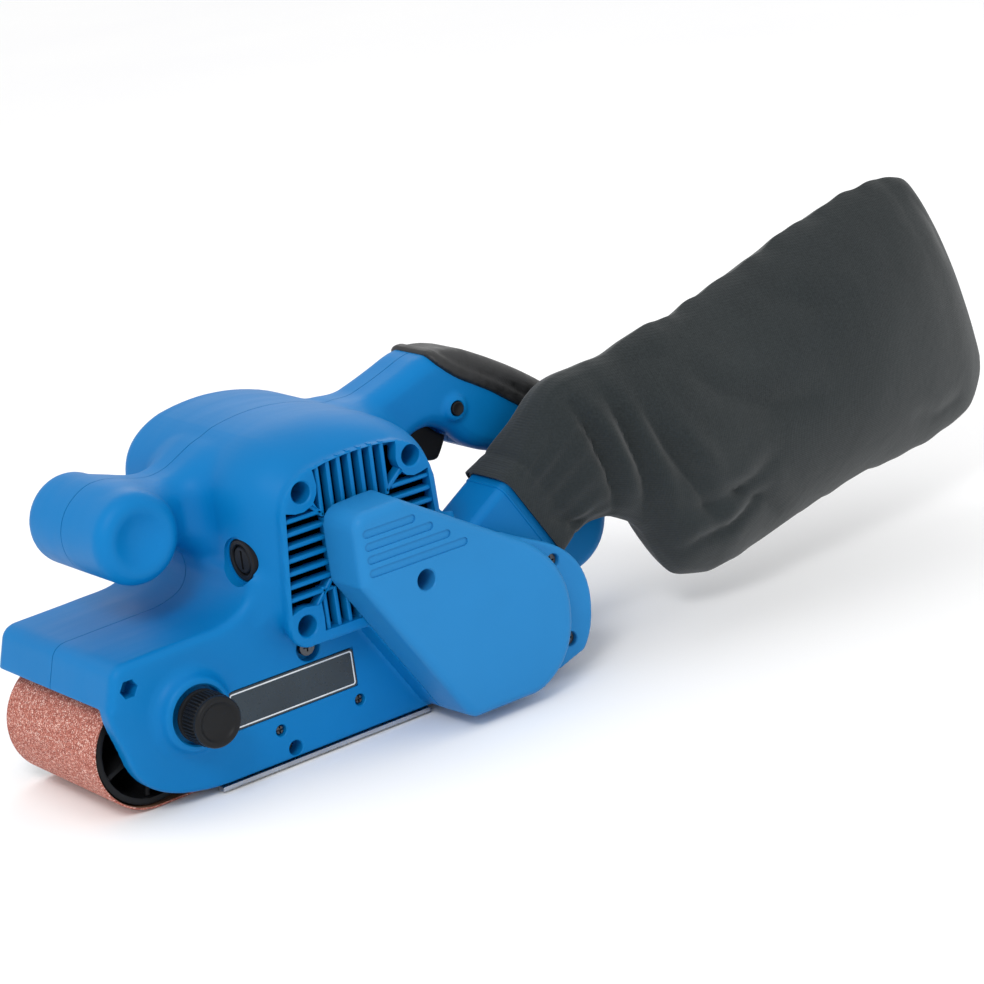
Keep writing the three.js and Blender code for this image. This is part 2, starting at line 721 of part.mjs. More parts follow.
function frontRoller() {
  const spokes = [];
  for (let i = 0; i < 5; i += 1) {
    const geometry = weld(new THREE.BoxGeometry(16, 2 * (ROLLER_HALF - 3), 2));
    geometry.translate(14, 0, 0);
    geometry.rotateY((i / 5) * 2 * Math.PI + 0.4);
    spokes.push(solid(geometry));
  }
  const tube = cut(
    rodY(0, 0, ROLLER_RADIUS, -ROLLER_HALF, ROLLER_HALF, 32),
    rodY(0, 0, 21.5, 4, ROLLER_HALF + 5, 24),
    rodY(0, 0, 21.5, -ROLLER_HALF - 5, -4, 24),
  );
  const hub = rodY(0, 0, 8, -ROLLER_HALF, ROLLER_HALF, 16);
  return cut(join(tube, hub, ...spokes), rodY(0, 0, 4 + GAP, -60, 60, 16));
}

function driveRoller() {
  return cut(
    rodY(0, 0, ROLLER_RADIUS, -ROLLER_HALF, ROLLER_HALF, 32),
    rodY(0, 0, DRIVE_SHAFT_RADIUS + GAP, -60, 60, 16),
    bearing(20, 10, -ROLLER_HALF - 5, 4 - ROLLER_HALF),
    bearing(20, 10, ROLLER_HALF - 4, ROLLER_HALF + 5),
  );
}

// ---------------------------------------------------------------- belt frame, yoke and lever

const LEVER_PIN = { x: -23, y: 26.5 };
const FRAME = { x0: -34, x1: 44, y0: -40.9, y1: 34, z0: 5, z1: 47.5, front: 3, floor: 4 };
const SPRING_SEAT_X = 12;
const STEM_END_X = -20;

function beltFrame() {
  const { x0, x1, y0, y1, z0, z1, front, floor } = FRAME;
  const pocket = box(x0 + front, x1 - front, y0 + 4, 60, z0 + floor, z1 - floor);
  const arm = softSlab(polygon([[x1 - 4, 12], [88, 12], [88, 41], [x1 - 4, 41]]), 38, 45, 1.5);
  return cut(
    join(
      box(x0, x1, y0, y1, z0, z1).subtract(pocket),
      box(SPRING_SEAT_X, SPRING_SEAT_X + 3, y0 + 2, 12, z0 + 2, z1 - 2),
      box(x1 - 4, x1, y1 - 1, 45, 12, 41),
      arm,
    ),
    rodX(0, ROLLER_Z, 5 + GAP, x0 - 5, x0 + 8),
    rodZ(LEVER_PIN.x, LEVER_PIN.y, 2.5 + GAP, 0, 60),
    rodY(ROLLER_X, ROLLER_Z, BEARING_RADIUS + GAP, 30, 43.5, 28),
    ...Object.values(FRAME_SCREWS).map(([x, z]) => rodY(x, z, 1.8, y0 - 5, y0 + 8, 12)),
  );
}

const FRAME_SCREWS = { belt_frame_screw_front: [-16.4, 17.4], belt_frame_screw_rear: [24.9, 17.7] };

function frontYoke() {
  const outline = new THREE.Shape();
  outline.moveTo(-46, 18);
  outline.lineTo(-ROLLER_X, 18);
  outline.absarc(-ROLLER_X, ROLLER_Z, 8.5, -Math.PI / 2, -1.5 * Math.PI, true);
  outline.lineTo(-46, 35);
  const arms = [-40, 37].map((y) => slab(outline, y, y + 3));
  return cut(
    join(
      ...arms,
      box(-46.4, -42, -40, 40, 18, 35),
      box(-62, -53, -40, -37, 30, 45),
      rodX(0, ROLLER_Z, 5, -43, STEM_END_X),
    ),
    rodY(-ROLLER_X, ROLLER_Z, 4 + GAP, -60, 60),
  );
}

// Coil spring along +X or +Y from the origin, as a swept round wire.
function coilSpring(radius, wire, length, turns) {
  const steps = turns * 8;
  const points = [];
  for (let i = 0; i <= steps; i += 1) {
    const angle = (i / 8) * 2 * Math.PI;
    points.push(new THREE.Vector3((i / steps) * (length - 2 * wire) + wire, radius * Math.cos(angle),
      radius * Math.sin(angle)));
  }
  const section = new THREE.Shape();
  section.absarc(0, 0, wire, 0, 2 * Math.PI);
  const path = new THREE.CatmullRomCurve3(points);
  return solid(weld(new THREE.ExtrudeGeometry(section, { steps, extrudePath: path, curveSegments: 3 })));
}

function releaseLever() {
  const { x, y } = LEVER_PIN;
  const arm = box(x, 34, y + 2, y + 6.5, 19, 34);
  const tab = box(28, 34, y + 4, y + 10.5, 19, 34);
  const cam = box(x - 5, x, y - 5.5, y, 20, 33);
  return cut(join(rodZ(x, y, 6.5, 18, 35), arm, tab, cam), rodZ(x, y, 2.5 + GAP, 0, 60));
}

// ---------------------------------------------------------------- knob, trigger and buttons

function trackingKnob() {
  const { r, y0, y1 } = KNOB;
  const profile = [[0, y0 + 1.6], [r - 3, y0 + 1.6], [r - 2.2, y0], [r - 0.8, y0], [r, y0 + 1], [r, y1],
    [3 + GAP, y1], [3 + GAP, y0 + 6], [0, y0 + 6]];
  return turned(profile, 30);
}

function trigger() {
  const shape = new THREE.Shape();
  shape.moveTo(96, 123.5);
  shape.quadraticCurveTo(93, 117, 96.5, 109.5);
  shape.quadraticCurveTo(99, 99, 105.5, 96.5);
  shape.quadraticCurveTo(112, 94, 113.5, 96.5);
  shape.quadraticCurveTo(116.5, 100.5, 118.5, 105.2);
  shape.quadraticCurveTo(112, 108.5, 109, 113);
  shape.lineTo(107, 121);
  shape.quadraticCurveTo(102, 125.5, 96, 123.5);
  return cut(softSlab(shape, -6.5, 6.5, 1.2, 4), rodY(TRIGGER_PIVOT.x, TRIGGER_PIVOT.z, 1.5 + GAP, -20, 20, 16));
}

// ---------------------------------------------------------------- dust outlet, modelled along its own axis

function roundedRectangle(width, height, corner) {
  const [w, h] = [width / 2, height / 2];
  const shape = new THREE.Shape();
  shape.absarc(w - corner, h - corner, corner, 0, Math.PI / 2);
  shape.absarc(corner - w, h - corner, corner, Math.PI / 2, Math.PI);
  shape.absarc(corner - w, corner - h, corner, Math.PI, 1.5 * Math.PI);
  shape.absarc(w - corner, corner - h, corner, 1.5 * Math.PI, 2 * Math.PI);
  return shape;
}

// Rounded block along local X: width across Y, height across Z.
function ductBlock(grow, x0, x1) {
  const { width, height, corner } = OUTLET;
  const shape = roundedRectangle(width + 2 * grow, height + 2 * grow, corner + grow);
  const geometry = weld(new THREE.ExtrudeGeometry(shape, { depth: x1 - x0, bevelEnabled: false, curveSegments: 4 }));
  geometry.rotateX(Math.PI / 2);
  geometry.rotateZ(Math.PI / 2);
  geometry.translate(x0, 0, 0);
  return solid(geometry);
}

function placedDuctBlock(grow, x0, x1) {
  const { x, y, z } = OUTLET;
  return ductBlock(grow, x0, x1).rotate([0, -THREE.MathUtils.radToDeg(OUTLET_TILT), 0]).translate([x, y, z]);
}

function dustDuct() {
  return cut(ductBlock(0, -OUTLET.length, 0), ductBlock(-2.5, -OUTLET.length - 5, 5));
}

function bagCollar() {
  return cut(ductBlock(COLLAR_WALL + GAP, -8.5, -1), ductBlock(GAP, -20, 5));
}

// ---------------------------------------------------------------- dust bag

// Sections of the filled bag: centre, height in the tilted side plane, width across Y and lean of the section.
const BAG_SECTIONS = [
  { x: 126.3, y: -38.9, z: 71.4, height: 56, width: 37, lean: 32 },
  { x: 137.5, y: -39.2, z: 78.2, height: 56.5, width: 37.4, lean: 31 },
  { x: 145, y: -41, z: 84, height: 60, width: 38, lean: 22 },
  { x: 155, y: -43.5, z: 91, height: 69, width: 42, lean: 12 },
  { x: 172, y: -47, z: 92.5, height: 75, width: 48, lean: 6 },
  { x: 186, y: -49, z: 88.5, height: 88, width: 53, lean: 4 },
  { x: 193, y: -50, z: 85, height: 104, width: 56, lean: 1 },
  { x: 202, y: -51, z: 81.5, height: 119, width: 59, lean: -1 },
  { x: 218, y: -51.3, z: 79, height: 127, width: 61, lean: 3 },
  { x: 247, y: -48, z: 83.5, height: 131, width: 66, lean: 5.5 },
  { x: 285, y: -45.5, z: 92, height: 134, width: 72, lean: 7 },
  { x: 318, y: -45, z: 99.5, height: 137.5, width: 73, lean: 7.5 },
  { x: 347, y: -45, z: 104.5, height: 140, width: 64, lean: 8.5 },
  { x: 373, y: -45, z: 107.5, height: 137, width: 50, lean: 11 },
  { x: 396, y: -45, z: 108.5, height: 122, width: 30, lean: 13 },
  { x: 405, y: -45, z: 108, height: 98, width: 17, lean: 14 },
  { x: 410, y: -45, z: 103, height: 72, width: 7, lean: 14 },
];
const BAG_SIDES = 18;

function bagLoft(shrink, first, last) {
  const sections = BAG_SECTIONS.map((section, i) => {
    const tilt = THREE.MathUtils.degToRad(section.lean);
    const power = i < 2 ? 0.42 : 0.8;
    const pull = (i === 0 ? first : 0) + (i === BAG_SECTIONS.length - 1 ? last : 0);
    return Array.from({ length: BAG_SIDES }, (_, k) => {
      const angle = (2 * Math.PI * k) / BAG_SIDES;
      const [c, s] = [Math.cos(angle), Math.sin(angle)];
      const across = (Math.sign(c) * Math.abs(c) ** power * (section.width - 2 * shrink)) / 2;
      const up = (Math.sign(s) * Math.abs(s) ** power * (section.height - 2 * shrink)) / 2;
      return [
        section.x + pull * Math.cos(tilt) - up * Math.sin(tilt),
        section.y + across,
        section.z + pull * Math.sin(tilt) + up * Math.cos(tilt),
      ];
    });
  });
  const positions = sections.flat(2);
  const index = [];
  for (let i = 0; i + 1 < sections.length; i += 1) {
    for (let k = 0; k < BAG_SIDES; k += 1) {
      const [a, b] = [i * BAG_SIDES + k, i * BAG_SIDES + ((k + 1) % BAG_SIDES)];
      index.push(a, a + BAG_SIDES, b, b, a + BAG_SIDES, b + BAG_SIDES);
    }
  }
  const end = (sections.length - 1) * BAG_SIDES;
  for (let k = 1; k + 1 < BAG_SIDES; k += 1) {
    index.push(0, k, k + 1, end, end + k + 1, end + k);
  }
  const geometry = new THREE.BufferGeometry();
  geometry.setAttribute('position', new THREE.Float32BufferAttribute(positions, 3));
  geometry.setIndex(index);
  return solid(geometry);
}

function dustBag() {
  return bagLoft(0, 0, 0).subtract(bagLoft(BAG_WALL, -4, -BAG_WALL));
}

// ---------------------------------------------------------------- assembly

const sander = new THREE.Group();

function housingParts() {
  const group = new THREE.Group();
  group.add(
    node('left_housing', leftHousing(), BLUE),
    node('right_housing', rightHousing(), BLUE),
    node('drive_cover', driveCover(), LIGHT_BLUE),
    node('handle_grip', handleGrip(), BLACK_RUBBER),
    node('label_plate', box(PLATE.x0, PLATE.x1, SKIRT_Y - 0.4, SKIRT_Y + 0.3, PLATE.z0, PLATE.z1), LABEL),
    node('side_strip', box(-48.5, 60, SKIRT_Y + 0.2, SKIRT_Y + 4.5, 0.6, 2.4), STEEL),
    node('cord_gland', cut(rodX(0, GLAND.z, GLAND.r, 192, 206), rodX(0, GLAND.z, 4, 180, 220)), BLACK_RUBBER),
    node('clamp_screw', screw(...CLAMP_SCREW, SKIRT_Y + 1, 3.6, 3.8), STEEL),
  );
  for (const [name, [x, z]] of Object.entries(MOTOR_SCREWS)) {
    group.add(node(name, screw(x, z, -49, 14), STEEL));
  }
  for (const [name, [x, z]] of Object.entries(COVER_SCREWS)) {
    group.add(node(name, screw(x, z, -67.9, 10), STEEL));
  }
  for (const [name, [x, z]] of Object.entries(FRAME_SCREWS)) {
    group.add(node(name, screw(x, z, SKIRT_Y + 1.5, 13, 1.7, 1.4), STEEL));
  }
  return group;
}

function handleGrip() {
  const band = softSlab(handleOutline(), -GRIP_HALF, GRIP_HALF, 4, 8);
  return band.intersect(slab(gripOutline(), -30, 30));
}

function motorParts() {
  const group = new THREE.Group();
  group.position.set(MOTOR_X, 0, MOTOR_Z);
  group.add(
    node('stator_core', statorCore(), ALUMINIUM),
    node('field_coil_upper', fieldCoil(Math.PI / 2), COPPER),
    node('field_coil_lower', fieldCoil(-Math.PI / 2), COPPER),
    node('armature_core', armatureCore(), ALUMINIUM),
    node('armature_shaft', rodY(0, 0, SHAFT_RADIUS, PULLEY_Y0, 47.5), STEEL),
    node('commutator', commutator(), COPPER),
    node('cooling_fan', coolingFan(), BLACK_PLASTIC),
    node('motor_bearing_left', bearing(BEARING_RADIUS, SHAFT_RADIUS + GAP, -57.8, -51), STEEL),
    node('motor_bearing_right', bearing(BEARING_RADIUS, SHAFT_RADIUS + GAP, 41, 48), STEEL),
    node('small_pulley', toothedPulley(SMALL_TEETH, SMALL_RADIUS, SHAFT_RADIUS + 0.2, 5), STEEL),
  );
  return group;
}

function brushParts() {
  const group = new THREE.Group();
  for (const [place, seat] of Object.entries(BRUSH_SEATS)) {
    group.add(
      node(`brush_${place}`, brush(seat), CARBON),
      node(`brush_holder_${place}`, brushHolder(seat), BRASS),
      node(`brush_cap_${place}`, brushCap(seat), BLACK_PLASTIC),
    );
  }
  return group;
}

function driveParts() {
  const group = new THREE.Group();
  group.position.set(ROLLER_X, 0, ROLLER_Z);
  group.add(
    node('drive_roller', driveRoller(), BLACK_RUBBER),
    node('drive_shaft', rodY(0, 0, DRIVE_SHAFT_RADIUS, PULLEY_Y0, 43), STEEL),
    node('drive_bearing_left', bearing(13, DRIVE_SHAFT_RADIUS + GAP, -56.9, -49), STEEL),
    node('drive_bearing_right', bearing(BEARING_RADIUS, DRIVE_SHAFT_RADIUS + GAP, 38, 43.2), STEEL),
    node('large_pulley', toothedPulley(LARGE_TEETH, LARGE_RADIUS, DRIVE_SHAFT_RADIUS + GAP, 10), ALUMINIUM),
  );
  return group;
}

function beltParts() {
  const belt = cut(
    slab(stadium(BELT_RADIUS, -ROLLER_X, ROLLER_X, ROLLER_Z), -BELT_WIDTH / 2, BELT_WIDTH / 2),
    slab(stadium(BELT_RADIUS - BELT_THICKNESS, -ROLLER_X, ROLLER_X, ROLLER_Z), -50, 50),
  );
  const group = new THREE.Group();
  group.add(
    node('sanding_belt', belt, ABRASIVE),
    node('toothed_belt', toothedBelt(), BLACK_RUBBER),
    node('belt_frame', beltFrame(), ALUMINIUM),
    node('platen', box(-44, 44, -36, 36, 1.4, 2.4), STEEL),
    node('platen_pad', box(-40, 42, -35, 35, 2.7, 4.7), CORK),
    node('front_yoke', frontYoke(), STEEL),
    node('front_axle', rodY(-ROLLER_X, ROLLER_Z, 4, -39.9, 39.9), STEEL),
    node('front_roller', frontRoller(), BLACK_PLASTIC, [-ROLLER_X, 0, ROLLER_Z]),
    node('tension_spring', coilSpring(4, 0.8, SPRING_SEAT_X - STEM_END_X - 2 * GAP, 5), STEEL,
      [STEM_END_X + GAP, 0, ROLLER_Z]),
    node('release_lever', releaseLever(), STEEL),
    node('lever_pin', rodZ(LEVER_PIN.x, LEVER_PIN.y, 2.5, FRAME.z0 + 0.5, FRAME.z1 - 0.5), STEEL),
  );
  return group;
}

function controlParts() {
  const { x, z } = LOCK_BUTTON;
  const buttonSpring = node('lock_button_spring', coilSpring(2, 0.35, 4.4, 3), STEEL, [x, -9.8, z]);
  buttonSpring.rotation.z = Math.PI / 2;
  const triggerSpring = node('trigger_spring', coilSpring(2.7, 0.5, 4, 3), STEEL,
    [TRIGGER_PIVOT.x, 7.2, TRIGGER_PIVOT.z]);
  triggerSpring.rotation.z = Math.PI / 2;
  const group = new THREE.Group();
  group.add(
    node('tracking_knob', trackingKnob(), BLACK_PLASTIC, [KNOB.x, 0, KNOB.z]),
    node('tracking_screw', rodY(KNOB.x, KNOB.z, 3, KNOB.y0 + 6.4, -40.4, 16), STEEL),
    node('trigger', trigger(), BLACK_PLASTIC),
    node('trigger_pin', rodY(TRIGGER_PIVOT.x, TRIGGER_PIVOT.z, 1.5, -14, 14, 12), STEEL),
    triggerSpring,
    node('switch_module', box(112.5, 125, -5, 9, 114.6, 123.4), BLACK_PLASTIC),
    node('lock_button', rodY(x, z, LOCK_BUTTON.r, -19.6, -10.1, 20), BLACK_PLASTIC),
    buttonSpring,
  );
  return group;
}

function dustParts() {
  const outlet = new THREE.Group();
  outlet.position.set(OUTLET.x, OUTLET.y, OUTLET.z);
  outlet.rotation.y = -OUTLET_TILT;
  outlet.add(node('dust_duct', dustDuct(), BLUE), node('bag_collar', bagCollar(), BLACK_PLASTIC));
  const group = new THREE.Group();
  group.add(outlet, node('dust_bag', dustBag(), FABRIC));
  return group;
}

sander.add(housingParts(), motorParts(), brushParts(), driveParts(), beltParts(), controlParts(), dustParts());

export default sander;
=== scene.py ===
import math

import bpy
import bmesh
import numpy as np
import openvdb
from mathutils import Matrix, Vector


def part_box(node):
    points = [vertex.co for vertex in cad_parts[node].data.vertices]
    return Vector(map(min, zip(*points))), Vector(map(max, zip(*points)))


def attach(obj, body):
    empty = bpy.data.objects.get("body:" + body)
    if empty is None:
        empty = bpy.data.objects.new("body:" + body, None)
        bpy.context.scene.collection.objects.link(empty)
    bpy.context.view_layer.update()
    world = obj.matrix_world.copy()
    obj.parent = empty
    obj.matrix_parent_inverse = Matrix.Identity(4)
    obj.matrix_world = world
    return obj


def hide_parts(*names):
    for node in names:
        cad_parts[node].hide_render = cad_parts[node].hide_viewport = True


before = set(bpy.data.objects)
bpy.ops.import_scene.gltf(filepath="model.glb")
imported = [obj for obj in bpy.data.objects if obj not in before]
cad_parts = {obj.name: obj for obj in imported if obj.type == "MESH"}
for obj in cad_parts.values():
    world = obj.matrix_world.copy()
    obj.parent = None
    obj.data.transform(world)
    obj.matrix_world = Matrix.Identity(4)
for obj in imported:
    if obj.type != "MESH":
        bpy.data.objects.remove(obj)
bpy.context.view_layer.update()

# Lengths in this script are millimetres until a mesh is made; the frame itself is in metres.
MM = 0.001


# ---------------------------------------------------------------- materials

def srgb(r, g, b):
    """A display colour, 0-255, as linear light."""
    values = np.array([r, g, b]) / 255.0
    linear = np.where(values <= 0.04045, values / 12.92, ((values + 0.055) / 1.055) ** 2.4)
    return (*linear.tolist(), 1.0)


def scaled(color, factor):
    return (*[min(1.0, c * factor) for c in color[:3]], 1.0)


class Nodes:
    """A material's node tree with short calls for the nodes used here."""

    def __init__(self, name):
        self.material = bpy.data.materials.new(name)
        self.material.use_nodes = True
        self.tree = self.material.node_tree
        self.shader = self.tree.nodes["Principled BSDF"]
        self.coordinates = self.tree.nodes.new("ShaderNodeTexCoord").outputs["Object"]

    def link(self, a, b):
        self.tree.links.new(a, b)

    def stretched(self, scale):
        mapping = self.tree.nodes.new("ShaderNodeMapping")
        mapping.inputs["Scale"].default_value = scale
        self.link(self.coordinates, mapping.inputs["Vector"])
        return mapping.outputs["Vector"]

    def noise(self, scale, detail=3.0, roughness=0.55, vector=None):
        node = self.tree.nodes.new("ShaderNodeTexNoise")
        node.inputs["Scale"].default_value = scale
        node.inputs["Detail"].default_value = detail
        node.inputs["Roughness"].default_value = roughness
        self.link(vector or self.coordinates, node.inputs["Vector"])
        return node.outputs["Fac"]

    def cells(self, scale, output="Distance", feature="F1", vector=None):
        node = self.tree.nodes.new("ShaderNodeTexVoronoi")
        node.feature = feature
        node.inputs["Scale"].default_value = scale
        self.link(vector or self.coordinates, node.inputs["Vector"])
        return node.outputs[output]

    def wave(self, scale, axis, distortion=0.0):
        node = self.tree.nodes.new("ShaderNodeTexWave")
        node.wave_type = "BANDS"
        node.bands_direction = axis
        node.inputs["Scale"].default_value = scale
        node.inputs["Distortion"].default_value = distortion
        self.link(self.coordinates, node.inputs["Vector"])
        return node.outputs["Fac"]

    def span(self, value, low, high, start=0.3, end=0.7):
        node = self.tree.nodes.new("ShaderNodeMapRange")
        node.inputs["From Min"].default_value = start
        node.inputs["From Max"].default_value = end
        node.inputs["To Min"].default_value = low
        node.inputs["To Max"].default_value = high
        self.link(value, node.inputs["Value"])
        return node.outputs["Result"]

    def ramp(self, value, *stops):
        node = self.tree.nodes.new("ShaderNodeValToRGB")
        elements = node.color_ramp.elements
        while len(elements) < len(stops):
            elements.new(0.5)
        for element, (position, color) in zip(elements, stops):
            element.position = position
            element.color = color
        self.link(value, node.inputs["Fac"])
        return node.outputs["Color"]

    def math(self, operation, a, b):
        node = self.tree.nodes.new("ShaderNodeMath")
        node.operation = operation
        for socket, value in zip(node.inputs, (a, b)):
            if isinstance(value, (int, float)):
                socket.default_value = value
            else:
                self.link(value, socket)
        return node.outputs["Value"]

    def mixed(self, factor, a, b):
        node = self.tree.nodes.new("ShaderNodeMix")
        node.data_type = "RGBA"
        self.link(factor, node.inputs["Factor"])
        for socket, value in ((node.inputs["A"], a), (node.inputs["B"], b)):
            if isinstance(value, tuple):
                socket.default_value = value
            else:
                self.link(value, socket)
        return node.outputs["Result"]

    def bump(self, height, strength, distance, below=None):
        node = self.tree.nodes.new("ShaderNodeBump")
        node.inputs["Strength"].default_value = strength
        node.inputs["Distance"].default_value = distance
        self.link(height, node.inputs["Height"])
        if below is not None:
            self.link(below, node.inputs["Normal"])
        return node.outputs["Normal"]

    def finish(self, color, roughness, normal=None, metal=0.0, level=0.5, sheen=0.0, coat=0.0):
        for socket, value in (("Base Color", color), ("Roughness", roughness)):
            if isinstance(value, (tuple, float)):
                self.shader.inputs[socket].default_value = value
            else:
                self.link(value, self.shader.inputs[socket])
        if normal is not None:
            self.link(normal, self.shader.inputs["Normal"])
        self.shader.inputs["Metallic"].default_value = metal
        self.shader.inputs["Specular IOR Level"].default_value = level
        self.shader.inputs["Sheen Weight"].default_value = sheen
        self.shader.inputs["Coat Weight"].default_value = coat
        return self.material


def moulded(name, color, roughness=0.46, grain=0.10, level=0.14):
    """Spark-eroded moulded plastic: cloudy tint, fine grain and faint flow marks."""
    n = Nodes(name)
    cloud = n.noise(9.0, 4.0)
    tint = n.ramp(cloud, (0.32, scaled(color, 0.93)), (0.68, scaled(color, 1.05)))
    fine = n.noise(2600.0, 2.0)
    flow = n.noise(14.0, 3.0, vector=n.stretched((1.0, 5.0, 2.0)))
    rough = n.span(flow, roughness - 0.05, roughness + 0.06)
    normal = n.bump(fine, grain, 0.0002, n.bump(n.noise(60.0, 2.0), 0.05, 0.0006))
    return n.finish(tint, rough, normal, level=level)


def metal(name, color, roughness, brushed=(1.0, 1.0, 1.0), scale=500.0, strength=0.12):
    """Worked metal: directional scratches, cloudy tarnish and uneven gloss."""
    n = Nodes(name)
    cloud = n.noise(55.0, 5.0)
    tint = n.ramp(cloud, (0.3, scaled(color, 0.78)), (0.7, scaled(color, 1.06)))
    lines = n.noise(scale, 4.0, vector=n.stretched(brushed))
    rough = n.span(n.noise(120.0, 4.0), roughness - 0.09, roughness + 0.12)
    return n.finish(tint, rough, n.bump(lines, strength, 0.0003), metal=1.0)


BLUE = srgb(0, 113, 178)
LIGHT_BLUE = srgb(34, 123, 184)


def make_materials():
    made = {
        "blue": moulded("blue_plastic", BLUE),
        "light_blue": moulded("cover_plastic", LIGHT_BLUE, 0.42),
        "black": moulded("black_plastic", srgb(27, 28, 30), 0.38, 0.2),
        "steel": metal("bright_steel", srgb(190, 192, 196), 0.26, (1.0, 12.0, 1.0)),
        "dark_steel": metal("oiled_steel", srgb(92, 93, 96), 0.4, (4.0, 1.0, 4.0)),
        "aluminium": metal("cast_aluminium", srgb(172, 175, 179), 0.48, (1.0, 1.0, 1.0), 900.0, 0.35),
        "brass": metal("brass", srgb(190, 150, 80), 0.34, (6.0, 1.0, 1.0)),
    }

    n = Nodes("grip_rubber")
    pebble = n.cells(1500.0)
    streak = n.noise(260.0, 4.0, vector=n.stretched((1.0, 0.35, 1.0)))
    tint = n.ramp(streak, (0.3, srgb(17, 18, 19)), (0.72, srgb(38, 39, 41)))
    normal = n.bump(pebble, 0.22, 0.0003, n.bump(streak, 0.18, 0.0008))
    made["rubber"] = n.finish(tint, n.span(streak, 0.42, 0.62), normal, level=0.5)

    n = Nodes("abrasive_grit")
    grit = n.cells(2200.0, "Color")
    split = n.tree.nodes.new("ShaderNodeSeparateColor")
    n.link(grit, split.inputs["Color"])
    shade = n.math("ADD", n.math("MULTIPLY", split.outputs["Red"], 0.75), n.math("MULTIPLY", n.noise(240.0), 0.25))
    tint = n.ramp(shade, (0.05, srgb(112, 50, 40)), (0.40, srgb(168, 90, 75)), (0.70, srgb(200, 128, 112)),
                  (0.90, srgb(245, 214, 202)))
    normal = n.bump(n.cells(2200.0), 0.8, 0.0004, n.bump(n.noise(2600.0), 0.4, 0.0003))
    made["grit"] = n.finish(tint, 0.72, normal, level=0.35)

    n = Nodes("belt_cloth")
    weave = n.math("MULTIPLY", n.wave(260.0, "Y"), n.wave(260.0, "X"))
    tint = n.ramp(n.noise(90.0, 4.0), (0.3, srgb(92, 64, 48)), (0.7, srgb(134, 98, 74)))
    made["belt_back"] = n.finish(tint, 0.88, n.bump(weave, 0.4, 0.0003), level=0.2)

    n = Nodes("bag_fabric")
    cloud = n.noise(7.0, 4.0)
    base = n.ramp(cloud, (0.3, srgb(22, 27, 28)), (0.72, srgb(36, 42, 44)))
    weave = n.math("ADD", n.wave(310.0, "X", 0.4), n.wave(310.0, "Z", 0.4))
    slub = n.noise(900.0, 3.0)
    tint = n.mixed(n.span(slub, 0.0, 0.5), base, srgb(46, 52, 54))
    normal = n.bump(weave, 0.16, 0.0003, n.bump(n.noise(34.0, 4.0), 0.28, 0.0035))
    made["fabric"] = n.finish(tint, 0.86, normal, level=0.22, sheen=0.18)

    n = Nodes("label_dark")
    tint = n.ramp(n.noise(40.0, 3.0), (0.3, srgb(18, 34, 44)), (0.7, srgb(27, 45, 56)))
    made["label"] = n.finish(tint, n.span(n.noise(300.0), 0.24, 0.36), n.bump(n.noise(1500.0), 0.05, 0.0002))

    n = Nodes("label_pale")
    tint = n.ramp(n.noise(120.0, 3.0), (0.3, srgb(196, 202, 206)), (0.7, srgb(226, 230, 232)))
    made["pale"] = n.finish(tint, 0.35, n.bump(n.noise(1500.0), 0.05, 0.0002))

    n = Nodes("enamelled_winding")
    turns = n.wave(250.0, "Y", 0.6)
    tint = n.ramp(turns, (0.2, srgb(74, 34, 18)), (0.7, srgb(170, 92, 52)))
    made["copper"] = n.finish(tint, n.span(turns, 0.25, 0.45), n.bump(turns, 0.8, 0.0008), metal=0.85)

    n = Nodes("commutator_copper")
    bars = n.noise(220.0, 2.0, vector=n.stretched((8.0, 0.4, 8.0)))
    tint = n.ramp(bars, (0.3, srgb(120, 66, 38)), (0.7, srgb(205, 128, 82)))
    made["commutator"] = n.finish(tint, n.span(bars, 0.2, 0.4), n.bump(bars, 0.3, 0.0004), metal=1.0)

    n = Nodes("carbon_brush")
    tint = n.ramp(n.cells(1400.0), (0.1, srgb(22, 22, 24)), (0.8, srgb(62, 62, 66)))
    made["carbon"] = n.finish(tint, n.span(n.noise(400.0), 0.4, 0.65), n.bump(n.noise(1800.0), 0.4, 0.0003))

    n = Nodes("cork_graphite")
    tint = n.ramp(n.cells(420.0, "Distance"), (0.1, srgb(46, 38, 33)), (0.8, srgb(104, 84, 66)))
    made["cork"] = n.finish(tint, 0.85, n.bump(n.cells(420.0), 0.6, 0.0006), level=0.25)

    n = Nodes("studio_floor")
    tint = n.ramp(n.noise(3.0, 2.0), (0.3, srgb(250, 250, 251)), (0.7, srgb(252, 252, 252)))
    made["floor"] = n.finish(tint, 0.9, n.bump(n.noise(300.0), 0.02, 0.0005), level=0.1)
    return made


MATERIALS = make_materials()


# ---------------------------------------------------------------- outlines in X and Z

def path(start, *steps, parts=12):
    """Points of an outline: a step is a line (x, z), a quadratic (4 numbers) or a cubic (6 numbers) curve."""
    points = [np.array(start, float)]
    for step in steps:
        knots = [points[-1]] + [np.array(step[i:i + 2], float) for i in range(0, len(step), 2)]
        count = 1 if len(knots) == 2 else parts
        for t in np.arange(1, count + 1) / count:
            level = knots
            while len(level) > 1:
                level = [a * (1 - t) + b * t for a, b in zip(level, level[1:])]
            points.append(level[0])
    return np.array(points)


def arc(x, z, radius, start, end, count=32):
    angles = np.radians(np.linspace(start, end, count + 1))
    return np.column_stack([x + radius * np.cos(angles), z + radius * np.sin(angles)])


def stadium(x0, x1, z, radius, count=24):
    return np.vstack([arc(x1, z, radius, -90, 90, count), arc(x0, z, radius, 90, 270, count)])


def oblong(x0, x1, z0, z1):
    return np.array([(x0, z0), (x1, z0), (x1, z1), (x0, z1)], float)


def area_of(points):
    x, z = points.T
    return 0.5 * float(np.sum(x * np.roll(z, -1) - np.roll(x, -1) * z))


